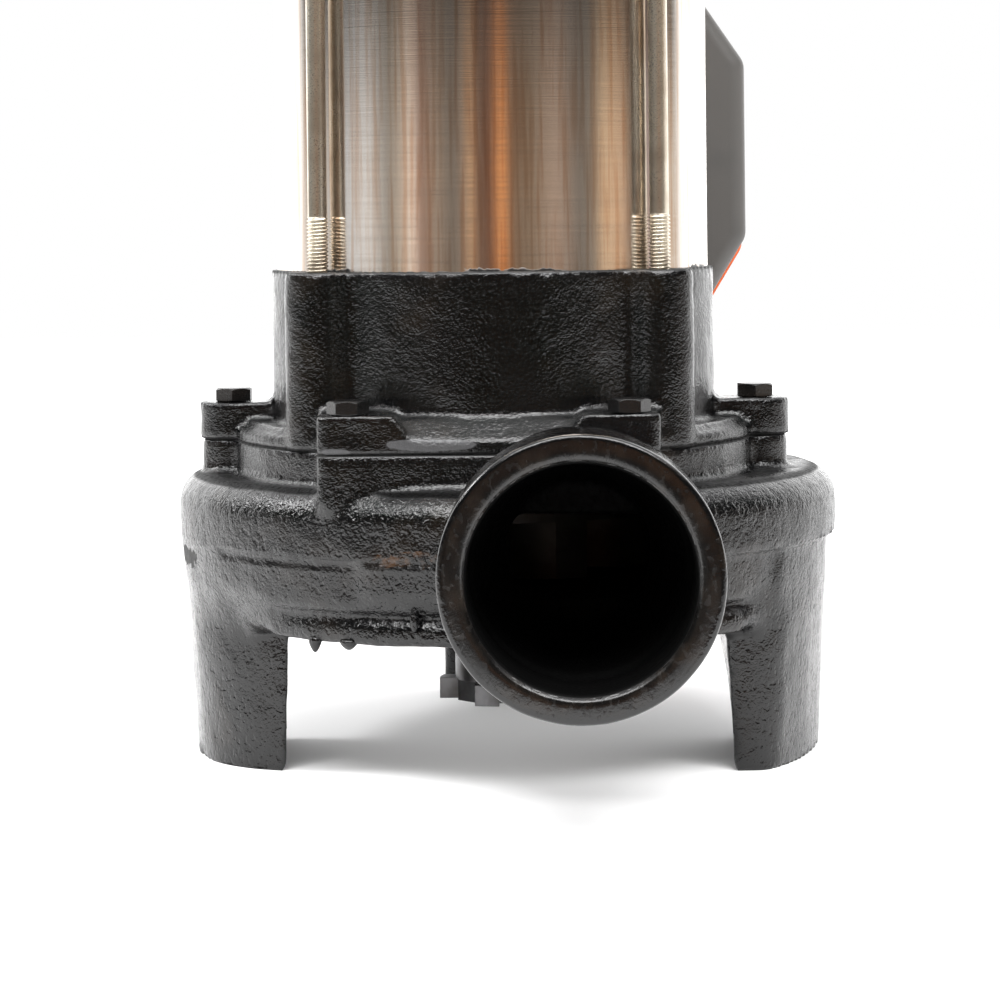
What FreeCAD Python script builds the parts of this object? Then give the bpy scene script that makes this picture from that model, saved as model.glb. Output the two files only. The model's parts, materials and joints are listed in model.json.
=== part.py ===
import FreeCAD, Part
import math
import os

# Submersible grinder pump, standing on three legs.
# Millimetres. The origin is where the shaft axis meets the floor, +Z up,
# and the discharge port faces -Y.

# Fits
SEAT_GAP = 0.05          # radial gap of a piece seated in a bore
BALL_GAP = 0.02          # running gap between a ball and its races
POCKET_GAP = 0.15        # gap round a ball in its cage
FACE_GAP = 0.05          # film gap between the seal faces
KNIFE_GAP = 0.2          # gap between the turning knives and the cutter ring
AIR_GAP = 0.5            # between rotor and stator
BOLT_GAP = 0.3           # radial play of a bolt in a clearance hole

# Volute casing
BELLY_X, BELLY_Y = 3.4, 14.3     # centre of the eccentric belly, above the parting line
BELLY_R = 96.3
LOW_X, LOW_Y = 2.2, 14.8         # centre of its lower half, cast a little off the upper one
LOW_R = 95.0
BELLY_DRAFT = 1.4                # lost in radius towards the bottom
BELLY_WALL = 7.5
BELLY_BOTTOM = 48.2
BELLY_EDGE = 2.5                 # rounding of its bottom edge
PARTING_Z = 62.0
SHOULDER_Z = 81.0
SHOULDER_ROUND = 9.0
RING_X, RING_Y, RING_R = 4.0, 9.0, 88.0
RING_BOTTOM = 39.7
RING_GROOVE = 3.0                # height and depth of the groove above the ring
FLOOR_THICK = 5.3
CEILING_THICK = 6.0
SEAM_Z = 90.7                    # joint between volute and motor bracket
LOWER_FLANGE = 8.0
THROAT_R = 57.0                  # opening in the ceiling, above the impeller
SPIGOT_R = 60.0                  # bore that centres the oil chamber cover
LEDGE_THICK = 5.0                # ledge under that bore

# Legs
LEG_X, LEG_Y = 2.95, 13.5        # axis of the cone that the outsides of the legs follow
LEG_FOOT_OUT = 91.1
LEG_LEAN = 0.052                 # how far the outside leans in towards the foot, per mm of height
LEFT_LEG_Y = (-37.5, 14.0)
RIGHT_LEG_Y = (-41.5, 12.0)
BACK_LEG_X = (-18.8, 30.0)
LEFT_CORNER, RIGHT_CORNER = 14.0, 6.0   # rounding of the legs' outer corners
BACK_LEG_Y = (92.8, 90.5)        # its inner side, at the floor and under the ring
FLANK_Y = (-60.0, 40.0)          # where the inner sides of the left and right leg are given:
LEFT_FLANK = ((-54.8, -69.9), (-55.1, -64.4))   # X at the floor, X under the ring
RIGHT_FLANK = ((64.5, 75.3), (65.4, 62.2))
ARCH_ROUND = 3.5                 # rounding between a leg and the ring

# Discharge port, threaded for a 2 inch pipe
PORT_X, PORT_Z = 24.0, 65.5
PORT_FACE_Y = -141.0
PORT_R = 35.5
PORT_THREAD_R = 28.33
PORT_THREAD_LENGTH = 26.0
PORT_COLLAR = 28.0               # length of the full-size collar
NECK_R = 24.2
NECK_BORE_R = 19.2
NECK_Y = -76.0                   # where the neck has narrowed into the belly
PORT_EDGE = 1.0
TONGUE_THICK = 6.0

# Motor shell, which the castings below and above it follow
SHELL_R = 62.5
SHELL_WALL = 1.5
SHELL_TOP = 330.0
SPIGOT_HIGH = 10.0
SPIGOT_WALL = 7.0                # wall of the two spigots that the shell is pushed over
BARREL_R = SHELL_R + 1.5
MOTOR_CAVITY_R = SHELL_R - SHELL_WALL - SPIGOT_WALL

# Flange ears and casing bolts
BOLT_ANGLES = [0, 60, 120, 180, 240, 300]
BOLT_CIRCLE_R = BARREL_R + 11.8
BOLT_R = 3.0
BOLT_HEAD_FLATS = 10.0
BOLT_HEAD_HIGH = 3.9
BOLT_DEPTH = 11.5
EAR_R_LOWER, EAR_R_UPPER = 9.2, 9.8
EAR_THICK = 10.5
FLANGE_R = BARREL_R + 10.5
BAR_HALF = 46.2                  # half length of the straight flange front
BAR_FRONT = BARREL_R + 7.0
BAR_BASE = 3.5                   # height of the flange front below its bevel
BAR_BEVEL = 6.0
BAR_TOP = 9.0
BOSS_INNER_X = 23.0              # inner end of the square bolt bosses, halfway up its slope
BOSS_SLOPE = 2.5
BOSS_ROUND = 3.0

# Motor bracket
COLUMN_ANGLES = [45, 135, 225, 315]
RIM_Z = 139.3
COLUMN_R = 9.2
COLUMN_FILLET = 4.0
TIE_ROD_R = 2.65
TIE_THREAD_R = 3.0
TIE_ROD_CLEAR = 1.1              # between a rod's thread and the shell
COLUMN_CIRCLE_R = SHELL_R + TIE_ROD_CLEAR + TIE_THREAD_R
TIE_THREAD_ABOVE = 15.5
TIE_DEPTH = 16.0
OIL_R = 50.0
OIL_CEILING_Z = 122.0
WEB_TOP_Z = 129.0
COVER_RISE = 4.0                 # how far the oil chamber cover stands into the bracket
OIL_COVER_WEB = 5.0
BEARING_HUB_R = 27.0
O_RING_DEEP, O_RING_WIDE = 2.05, 2.6
OIL_GROOVE_DEEP, OIL_GROOVE_WIDE = 2.4, 3.0
OIL_GROOVE_BELOW = 4.6           # groove bottom, below the seam

# Oil filler plug in the bracket's wall
PLUG_ANGLE = 108.0
PLUG_Z = 110.0
PLUG_R = 5.0
PLUG_FLATS = 14.0
PLUG_BOSS_R = 10.0
PLUG_BOSS_OUT = 3.0
PLUG_WASHER = 1.5

# Motor
STATOR_Z = 178.0
STATOR_LENGTH = 90.0
STATOR_BORE_R = 33.0
SLOTS = 18
SLOT_WIDE = 4.6
SLOT_DEEP = 13.0
SLOT_MOUTH = 2.0
SLOT_TIP = 2.0
WINDING_OVERHANG = 16.0
END_RING_HIGH = 8.0

# Shaft, from the cutter up
SHAFT_END_Z = 24.0
SHAFT_R_WET = 7.0
SHAFT_R_SEAL = 8.0
SHAFT_R_CORE = 11.0
SHAFT_COLLAR_R = 10.5
IMPELLER_SHOULDER_Z = 76.0

# Ball bearings: bore radius, outside radius, width, ball radius
LOWER_BEARING = (8.5, 20.0, 12.0, 3.375)
UPPER_BEARING = (7.5, 17.5, 11.0, 3.0)
BALLS = 8
LOWER_BEARING_Z = 128.0
UPPER_BEARING_Z = 303.0
CIRCLIP_THICK = 1.2

# Mechanical seals
SEAT_R = 15.0
SEAT_HIGH = 8.0
FACE_R = 14.0
FACE_HIGH = 6.0
LOWER_SEAT_Z = 84.0
UPPER_SEAT_Z = 113.0
SPRING_R = 11.6
SPRING_WIRE_R = 0.9
SPRING_TURNS = 2.25

# Impeller
IMPELLER_R = 52.0
IMPELLER_DISC = (70.0, 75.0)
VANE_BOTTOM = 54.5
VANES = 6
VANE_THICK = 4.0
VANE_ROOT_R = 14.0
VANE_SWEEP = 60.0
IMPELLER_HUB_R = 12.0
KEY_WIDE = 5.0
KEY_Z = (54.0, 70.0)

# Cutter
CUTTER_BOTTOM = 14.2
CUTTER_STEP = 20.1
NECK_TOP = 33.0
CUTTER_TOP = 48.0
BLADE_R = 16.6
KNIFE_R = 17.4
CUTTER_NECK_R = 12.0
CUTTER_HUB_R = 11.0
BLADES = 4
BLADE_FRONT, BLADE_BACK = 1.0, 6.0   # offsets of a blade's flanks from the axis
SCREW_HEAD_R = 6.5
SCREW_HEAD_HIGH = 4.5
SCREW_R = 4.0
SCREW_LENGTH = 22.0
HEX_SOCKET = 6.0
CUTTER_FLOOR = 4.3

# Suction cover and cutter ring
COVER_R = 60.0                   # passes between the legs
COVER_RIM = 6.0
COVER_SPIGOT_R = COVER_R - 15.0
COVER_SCREW_CIRCLE = COVER_R - 7.5
COVER_SCREWS = 4
RING_SEAT_R = 24.0
RING_FLANGE_R = 31.0
RING_FLANGE_HIGH = 5.0
RING_TOP = 50.0
NOTCHES = 8
NOTCH_WIDE = 5.0
NOTCH_DEEP = 3.2
RING_SCREW_CIRCLE = 27.6
RING_SCREWS = 3
COVER_SCREW_HEAD = (5.6, 2.8)    # head radius and height
RING_SCREW_HEAD = (3.2, 1.6)
COVER_SCREW_LENGTH = 12.0
RING_SCREW_R = 1.5
RING_SCREW_LENGTH = 10.0

# Top cover, glands and handle
DOME_HIGH = 46.0
DOME_ROUND = 15.0
DOME_WALL = 6.0
TOP_EAR_HIGH = 14.0
NUT_HIGH = 5.0
WASHER_HIGH = 1.6
WASHER_R = 6.0
GLAND_Y = -27.0
GLAND_FLATS = 26.0
GLAND_HIGH = 14.0
GLAND_BOSS = 5.0
GLAND_THREAD_R = 11.0
GROMMET_R = 8.5
POWER_BORE_R = 4.6
HANDLE_HALF = 52.0
HANDLE_WIDE = 24.0
HANDLE_THICK = 4.0
HANDLE_HIGH = 42.0
HANDLE_BEND = 14.0
HANDLE_BOLT_R = 4.0
HANDLE_BOLT_FLATS = 13.0
HANDLE_CLEAR = 1.0               # between a bolt head's corner and the upright of the bow
HANDLE_BOLT_X = HANDLE_HALF - HANDLE_THICK - HANDLE_BOLT_FLATS / math.sqrt(3) - HANDLE_CLEAR
HANDLE_HEAD_HIGH = 4.0
HANDLE_BOLT_LENGTH = 14.0
LUG_R, LUG_HIGH = 8.8, 4.0
EAR_POCKET_R = 8.5               # pocket in the dome round each tie-rod nut

# Cable chamber
CAPACITOR_R, CAPACITOR_LONG, CAPACITOR_Y = 18.0, 58.0, 14.0
TERMINALS, TERMINAL_Y = 5, -26.0
TERMINAL_PITCH, TERMINAL_DEEP, TERMINAL_HIGH = 9.0, 16.0, 14.0
TERMINAL_HOLE_R = 2.6
CRADLE_X, CRADLE_THICK, CRADLE_DEEP, CRADLE_HIGH = 18.0, 4.0, 28.0, 8.0
BRACKET_WALL = 5.0               # round the upper bearing and inside the shell
BRACKET_SKIRT = 3.0              # how far its hub reaches below the bearing
BRACKET_WINDOW_R = 7.0

# Float switch and its cable
CABLE_R = 3.75
CABLE_LEAD = 13.6                # from the sleeve's end to the first corner of the bend
CABLE_RUN = 30.0                 # distance between the corners of the bend
BEND_SHARE = 0.45                # share of the shorter run taken by a bend
FLOAT_AZIMUTH = 70.8
FLOAT_GLAND_Z = 352.0
FLOAT_GLAND_START = BARREL_R + 2.0
FLOAT_NUT, FLOAT_SLEEVE = 9.0, 10.4
FLOAT_BOSS_R = 13.0
FLOAT_THREAD_R = 9.0
FLOAT_GLAND_FLATS = 22.0
FLOAT_REACH = BARREL_R + 77.6    # distance of the float from the shaft axis
FLOAT_BOTTOM = 120.7
FLOAT_HIGH = 115.7
FLOAT_HALF = 34.7
FLOAT_FOOT_HALF = 18.8
FLOAT_CORNER_HIGH = 26.1
FLOAT_LIP = 2.3                  # how far the rear shell's foot stands out beside the front one's
FLOAT_NECK_HALF = 13.0
FLOAT_NECK_HIGH = 32.0
FLOAT_THICK = 42.0
FLOAT_SEAM = 5.0                 # seam plane, behind the middle of the float
FLOAT_WALL = 2.5
FLOAT_ROUND = 7.0
FLOAT_EDGE = 5.0
SEAL_THICK = 1.0
BOOT_HIGH = 28.0
BALL_R = 9.0
BALL_TUBE_WALL = 2.0
BALL_RUN = 0.1
BALL_TUBE_HIGH = 36.0
BALL_TRAVEL = 12.0
WEIGHT_R, WEIGHT_HIGH = 14.2, 8.0
BOOT_R = 9.0

Vector = FreeCAD.Vector
UP = Vector(0, 0, 1)
FLOAT_X = FLOAT_REACH * math.cos(math.radians(FLOAT_AZIMUTH))
FLOAT_Y = FLOAT_REACH * math.sin(math.radians(FLOAT_AZIMUTH))


def cylinder(radius, bottom, top, x=0.0, y=0.0):
    return Part.makeCylinder(radius, top - bottom, Vector(x, y, bottom))


def tube(outer, inner, bottom, top, x=0.0, y=0.0):
    return cylinder(outer, bottom, top, x, y).cut(cylinder(inner, bottom, top, x, y))


def cone(lower, upper, bottom, top, x=0.0, y=0.0):
    return Part.makeCone(lower, upper, top - bottom, Vector(x, y, bottom))


def block(x, y, z):
    """Box between the two values of each axis."""
    return Part.makeBox(x[1] - x[0], y[1] - y[0], z[1] - z[0], Vector(x[0], y[0], z[0]))


def turned(points, x=0.0, y=0.0):
    """Solid of revolution of (radius, height) points about the vertical at x, y."""
    wire = Part.makePolygon([Vector(r, 0, z) for r, z in points + points[:1]])
    solid = Part.Face(wire).revolve(Vector(0, 0, 0), UP, 360)
    solid.translate(Vector(x, y, 0))
    return solid


def swung(shape, angle):
    """Copy turned about the shaft axis."""
    copy = shape.copy()
    copy.rotate(Vector(0, 0, 0), UP, angle)
    return copy


def spread(shape, count, first=0.0):
    return [swung(shape, first + 360.0 * i / count) for i in range(count)]


def joined(shapes):
    return shapes[0].fuse(list(shapes[1:])).removeSplitter()


def hexagon(flats, bottom, top, x=0.0, y=0.0, turn=0.0):
    """Hexagonal prism across its flats; turn 0 has a corner on +X."""
    corner = flats / math.sqrt(3)
    angles = [math.radians(turn + 60 * i) for i in range(7)]
    points = [Vector(x + corner * math.cos(a), y + corner * math.sin(a), bottom) for a in angles]
    return Part.Face(Part.makePolygon(points)).extrude(Vector(0, 0, top - bottom))


def level_edges(shape, z, least=0.0):
    """Edges that lie in the level z and are longer than least."""
    return [e for e in shape.Edges
            if abs(e.BoundBox.ZMin - z) < 0.01 and abs(e.BoundBox.ZMax - z) < 0.01 and e.Length > least]


def upright_edges(shape, chosen=lambda point: True):
    found = []
    for edge in shape.Edges:
        box = edge.BoundBox
        if box.XLength < 0.01 and box.YLength < 0.01 and chosen(edge.Vertexes[0].Point):
            found.append(edge)
    return found


def on_circle(radius, angle):
    a = math.radians(angle)
    return radius * math.cos(a), radius * math.sin(a)


def port_pipe(radius, start, length):
    """Cylinder along +Y on the port axis, from the given Y."""
    return Part.makeCylinder(radius, length, Vector(PORT_X, start, PORT_Z), Vector(0, 1, 0))


def port_cone(first, last, start, end):
    return Part.makeCone(first, last, end - start, Vector(PORT_X, start, PORT_Z), Vector(0, 1, 0))


def flat_sided_disc(radius, half, bottom, top):
    return cylinder(radius, bottom, top).common(block((-radius, radius), (-half, half), (bottom, top)))


def flange(bottom, top):
    """Round flange with a straight bar at the front and the back."""
    half = BAR_HALF - BOSS_ROUND
    bar = block((-half, half), (-BAR_FRONT, BAR_FRONT), (bottom, top))
    return joined([flat_sided_disc(FLANGE_R, BAR_FRONT, bottom, top), bar])


def square_boss(bottom, top):
    """Boss at the front bar's right end, its inner end sloping off, its outer corner rounded."""
    slope = min(top, SEAM_Z + BAR_BASE)
    points = [(BAR_HALF, bottom), (BOSS_INNER_X - BOSS_SLOPE, bottom), (BOSS_INNER_X - BOSS_SLOPE, slope),
              (BOSS_INNER_X + BOSS_SLOPE * (top > slope), top), (BAR_HALF, top)]
    points = [Vector(x, -BAR_FRONT, z) for i, (x, z) in enumerate(points) if (x, z) not in points[:i]]
    boss = Part.Face(Part.makePolygon(points + points[:1])).extrude(Vector(0, BAR_FRONT - BARREL_R * 0.7, 0))
    corner = upright_edges(boss, lambda p: p.x > BAR_HALF - 1 and p.y < -BAR_FRONT + 1)
    return boss.makeFillet(BOSS_ROUND, corner)


def bolt_seats(bottom, top, ear_r):
    """Round ears at the sides and square bosses at the ends of the two bars."""
    boss = square_boss(bottom, top)
    other = boss.mirror(Vector(0, 0, 0), Vector(1, 0, 0))
    solids = [boss, other, swung(boss, 180), swung(other, 180)]
    for side_x in (-1, 1):
        reach = sorted((side_x * BOLT_CIRCLE_R, side_x * BARREL_R * 0.9))
        solids.append(block(reach, (-ear_r, ear_r), (bottom, top)))
        solids.append(cylinder(ear_r, bottom, top, side_x * BOLT_CIRCLE_R, 0))
    return solids


def bolt_holes(radius, bottom, top):
    return [cylinder(radius, bottom, top, *on_circle(BOLT_CIRCLE_R, a)) for a in BOLT_ANGLES]


def leg(x, y, corner=BOSS_ROUND):
    """Solid leg between two planes across X and two across Y, up to the parting line."""
    top = PARTING_Z + 1
    top_out = LEG_FOOT_OUT + LEG_LEAN * top
    plate = cylinder(top_out, 0, top, LEG_X, LEG_Y).common(block(x, y, (0, top)))

    def outside(point):
        return math.hypot(point.x - LEG_X, point.y - LEG_Y) > top_out - 1
    plate = plate.makeFillet(corner, upright_edges(plate, outside))
    return plate.common(cone(LEG_FOOT_OUT, top_out, 0, top, LEG_X, LEG_Y))


def below_ring(feet, roots):
    """Clear space under the ring: its sides twist from the first outline up to the second."""
    wires = []
    for outline, z in ((feet, 0), (roots, RING_BOTTOM)):
        points = [Vector(x, y, z) for x, y in outline]
        wires.append(Part.makePolygon(points + points[:1]))
    space = Part.makeLoft(wires, True, True)
    return space.makeFillet(ARCH_ROUND, level_edges(space, RING_BOTTOM))


def side_legs():
    """The legs at the left and the right, with the space between them cut out."""
    far = BELLY_R + BELLY_Y + 10
    inner = COVER_R - 10
    left = leg((-far, -inner), LEFT_LEG_Y, LEFT_CORNER)
    right = leg((inner, far), RIGHT_LEG_Y, RIGHT_CORNER)
    front, back = FLANK_Y
    outlines = [[(l[0], front), (r[0], front), (r[1], back), (l[1], back)]
                for l, r in zip(LEFT_FLANK, RIGHT_FLANK)]
    space = below_ring(*outlines)
    return [left.cut(space), right.cut(space)]


def back_leg():
    inner = COVER_R - 10
    solid = leg(BACK_LEG_X, (inner, BELLY_R + BELLY_Y + 10))
    left, right = BACK_LEG_X[0] - 10, BACK_LEG_X[1] + 10
    outlines = [[(left, inner - 10), (right, inner - 10), (right, y), (left, y)] for y in BACK_LEG_Y]
    return solid.cut(below_ring(*outlines))


def volute_casing():
    belly = cylinder(BELLY_R, PARTING_Z, SHOULDER_Z, BELLY_X, BELLY_Y)
    belly = belly.makeFillet(SHOULDER_ROUND, level_edges(belly, SHOULDER_Z))
    low_half = cone(LOW_R - BELLY_DRAFT, LOW_R, BELLY_BOTTOM, PARTING_Z, LOW_X, LOW_Y)
    low_half = low_half.makeFillet(BELLY_EDGE, level_edges(low_half, BELLY_BOTTOM))
    groove_z = BELLY_BOTTOM - RING_GROOVE
    ring = cylinder(RING_R, RING_BOTTOM, groove_z, RING_X, RING_Y)
    ring = ring.fuse(cylinder(RING_R - RING_GROOVE, groove_z, BELLY_BOTTOM + 1, RING_X, RING_Y))
    legs = side_legs() + [back_leg()]
    collar_end = PORT_FACE_Y + PORT_COLLAR
    collar = port_pipe(PORT_R, PORT_FACE_Y, PORT_COLLAR)
    collar = collar.makeFillet(PORT_EDGE, [e for e in collar.Edges if e.BoundBox.YMax < PORT_FACE_Y + 0.01])
    neck = port_cone(PORT_R, NECK_R, collar_end, NECK_Y)
    root = port_pipe(NECK_R, NECK_Y, 20)
    top = flange(SEAM_Z - LOWER_FLANGE, SEAM_Z)
    rise = flat_sided_disc(FLANGE_R - 1, BAR_FRONT - 1, SHOULDER_Z - 1, SEAM_Z)
    low_z = SHOULDER_Z - SHOULDER_ROUND
    funnel = cone(BELLY_R - 3, BELLY_R + 14, low_z, SEAM_Z, BELLY_X, BELLY_Y)
    seats = [seat.common(funnel) for seat in bolt_seats(low_z, SEAM_Z, EAR_R_LOWER)]
    casting = joined([belly, low_half, ring, top, rise, collar, neck, root] + seats + legs)

    floor_z = BELLY_BOTTOM + FLOOR_THICK
    ceiling_z = SHOULDER_Z - CEILING_THICK
    channel = cylinder(BELLY_R - BELLY_WALL, floor_z, ceiling_z, BELLY_X, BELLY_Y)
    channel = channel.makeFillet(5.0, level_edges(channel, floor_z) + level_edges(channel, ceiling_z))
    tongue = block((PORT_X - NECK_BORE_R - TONGUE_THICK, PORT_X - NECK_BORE_R),
                   (-BELLY_R, -IMPELLER_R - 4), (floor_z, ceiling_z))
    channel = channel.cut(tongue)
    thread_end = PORT_FACE_Y + PORT_THREAD_LENGTH
    passage = port_pipe(PORT_THREAD_R, PORT_FACE_Y - 1, PORT_THREAD_LENGTH + 1)
    passage = passage.fuse(port_cone(PORT_THREAD_R - 1.3, NECK_BORE_R, thread_end, NECK_Y))
    inner_reach = port_pipe(NECK_BORE_R, NECK_Y, 24)
    inner_reach = inner_reach.common(block((-BELLY_R, BELLY_R), (PORT_FACE_Y, 0), (floor_z, ceiling_z)))
    spigot = cylinder(SPIGOT_R, ceiling_z + LEDGE_THICK, SEAM_Z + 1)
    throat = cylinder(THROAT_R, ceiling_z - 1, SEAM_Z + 1)
    mouth = cylinder(COVER_SPIGOT_R, RING_BOTTOM - 1, floor_z + 1)
    cover_seat = cylinder(COVER_R + SEAT_GAP, RING_BOTTOM - ARCH_ROUND, RING_BOTTOM + COVER_RIM)
    cuts = [channel, passage, inner_reach, spigot, throat, mouth, cover_seat]
    cuts += bolt_holes(BOLT_R + SEAT_GAP, SEAM_Z - BOLT_DEPTH - 1, SEAM_Z + 1)
    cuts += spread(cylinder(BOLT_R + SEAT_GAP, RING_BOTTOM, floor_z - 1, COVER_SCREW_CIRCLE),
                   COVER_SCREWS, 45)
    return casting.cut(cuts)


def countersunk(radius, head_r, head_high, bottom, length, socket):
    """Flat-head screw pointing up, its head flush with the level bottom."""
    screw = cone(head_r, radius, bottom, bottom + head_high)
    screw = screw.fuse(cylinder(radius, bottom + head_high, bottom + length))
    return screw.cut(hexagon(socket, bottom - 1, bottom + head_high * 0.6)).removeSplitter()


def suction_cover():
    floor_z = BELLY_BOTTOM + FLOOR_THICK
    rim_top = RING_BOTTOM + COVER_RIM
    cover = cylinder(COVER_R, RING_BOTTOM, rim_top)
    cover = cover.fuse(cylinder(COVER_SPIGOT_R - SEAT_GAP, rim_top, floor_z))
    cuts = [cylinder(RING_SEAT_R + SEAT_GAP, RING_BOTTOM - 1, floor_z + 1)]
    head_r, head_high = COVER_SCREW_HEAD
    sink = cone(head_r, BOLT_R, RING_BOTTOM, RING_BOTTOM + head_high, COVER_SCREW_CIRCLE)
    cuts += spread(sink, COVER_SCREWS, 45)
    cuts += spread(cylinder(BOLT_R, RING_BOTTOM, rim_top + 1, COVER_SCREW_CIRCLE), COVER_SCREWS, 45)
    cuts += spread(cylinder(RING_SCREW_R, RING_BOTTOM - 1, RING_BOTTOM + RING_SCREW_LENGTH - 4,
                            RING_SCREW_CIRCLE), RING_SCREWS, 30)
    return cover.cut(cuts).removeSplitter()


def cover_screws():
    screw = countersunk(BOLT_R, *COVER_SCREW_HEAD, RING_BOTTOM, COVER_SCREW_LENGTH, 3.0)
    screw.translate(Vector(COVER_SCREW_CIRCLE, 0, 0))
    return spread(screw, COVER_SCREWS, 45)


def cutter_ring():
    """Fixed ring round the knives, with notches that hold the stuff to be cut."""
    flange_z = RING_BOTTOM - RING_FLANGE_HIGH
    bore = KNIFE_R + KNIFE_GAP
    ring = cylinder(RING_FLANGE_R, flange_z, RING_BOTTOM)
    ring = ring.fuse(cylinder(RING_SEAT_R, RING_BOTTOM, RING_TOP))
    notch = block((0, bore + NOTCH_DEEP), (-NOTCH_WIDE / 2, NOTCH_WIDE / 2), (flange_z - 1, RING_TOP - 4))
    head_r, head_high = RING_SCREW_HEAD
    sink = cone(head_r, RING_SCREW_R, flange_z, flange_z + head_high, RING_SCREW_CIRCLE)
    hole = cylinder(RING_SCREW_R, flange_z, RING_BOTTOM + 1, RING_SCREW_CIRCLE)
    cuts = [cylinder(bore, flange_z - 1, RING_TOP + 1)]
    cuts += spread(notch, NOTCHES, 11.25) + spread(sink, RING_SCREWS, 30)
    cuts += spread(hole, RING_SCREWS, 30)
    return ring.cut(cuts).removeSplitter()


def cutter_ring_screws():
    flange_z = RING_BOTTOM - RING_FLANGE_HIGH
    screw = countersunk(RING_SCREW_R, *RING_SCREW_HEAD, flange_z, RING_SCREW_LENGTH, 1.8)
    screw.translate(Vector(RING_SCREW_CIRCLE, 0, 0))
    return spread(screw, RING_SCREWS, 30)


def blade_star(radius, hub, bottom, top):
    """Hub with blades whose leading flank lies nearly on a radius."""
    blade = block((-radius, 0), (-BLADE_FRONT, BLADE_BACK), (bottom, top))
    star = joined([hub] + spread(blade, BLADES))
    return star.common(cylinder(radius, bottom, top))


def cutter_head():
    octagon_r = CUTTER_NECK_R + 0.1
    angles = [math.radians(22.5 + 45 * i) for i in range(9)]
    points = [Vector(octagon_r * math.cos(a), octagon_r * math.sin(a), CUTTER_BOTTOM) for a in angles]
    hub = Part.Face(Part.makePolygon(points)).extrude(Vector(0, 0, CUTTER_STEP - CUTTER_BOTTOM))
    lower = blade_star(BLADE_R, hub, CUTTER_BOTTOM, CUTTER_STEP)
    neck = cylinder(CUTTER_NECK_R, CUTTER_STEP, NECK_TOP)
    crown = blade_star(KNIFE_R, cylinder(CUTTER_HUB_R, NECK_TOP, CUTTER_TOP), NECK_TOP, CUTTER_TOP)
    head = joined([lower, neck, crown])
    seat_z = SHAFT_END_Z - CUTTER_FLOOR
    cuts = [cylinder(SHAFT_R_WET + SEAT_GAP, SHAFT_END_Z, CUTTER_TOP + 1),
            cylinder(SCREW_R + BOLT_GAP, seat_z - 1, SHAFT_END_Z + 1),
            cylinder(SCREW_HEAD_R + BOLT_GAP, CUTTER_BOTTOM - 1, seat_z)]
    return head.cut(cuts)


def cutter_screw():
    seat_z = SHAFT_END_Z - CUTTER_FLOOR
    head_z = seat_z - SCREW_HEAD_HIGH
    screw = cylinder(SCREW_HEAD_R, head_z, seat_z)
    screw = screw.fuse(cylinder(SCREW_R, seat_z, seat_z + SCREW_LENGTH))
    return screw.cut(hexagon(HEX_SOCKET, head_z - 1, head_z + SCREW_HEAD_HIGH * 0.6)).removeSplitter()


def vane():
    """Backward-swept vane between two arcs about one centre."""
    middle = (VANE_ROOT_R + IMPELLER_R) / 2
    stations = [(VANE_ROOT_R, 0), (middle, VANE_SWEEP * 0.36), (IMPELLER_R + 1, VANE_SWEEP)]
    points = [Vector(*on_circle(r, a), VANE_BOTTOM) for r, a in stations]
    circle = Part.Circle(*points)
    centre, radius = circle.Center, circle.Radius

    def offset(by):
        return [centre + (p - centre) * ((radius + by) / radius) for p in points]
    outer, inner = offset(VANE_THICK / 2), offset(-VANE_THICK / 2)
    edges = [Part.Arc(*outer).toShape(), Part.makeLine(outer[2], inner[2]),
             Part.Arc(*inner).toShape(), Part.makeLine(inner[0], outer[0])]
    face = Part.Face(Part.Wire(Part.__sortEdges__(edges)))
    return face.extrude(Vector(0, 0, IMPELLER_DISC[0] - VANE_BOTTOM))


def key_block(bottom, top):
    return block((SHAFT_R_WET - 3.0, SHAFT_R_WET + 2.0), (-KEY_WIDE / 2, KEY_WIDE / 2), (bottom, top))


def impeller():
    disc_z, disc_top = IMPELLER_DISC
    hub = cylinder(IMPELLER_HUB_R, CUTTER_TOP, IMPELLER_SHOULDER_Z)
    disc = cylinder(IMPELLER_R, disc_z, disc_top)
    rim = cylinder(IMPELLER_R, VANE_BOTTOM, disc_z)
    body = joined([hub, disc] + [v.common(rim) for v in spread(vane(), VANES)])
    cuts = [cylinder(SHAFT_R_WET + SEAT_GAP, CUTTER_TOP - 1, IMPELLER_SHOULDER_Z + 1),
            key_block(CUTTER_TOP - 1, KEY_Z[1])]
    return body.cut(cuts)


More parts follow.
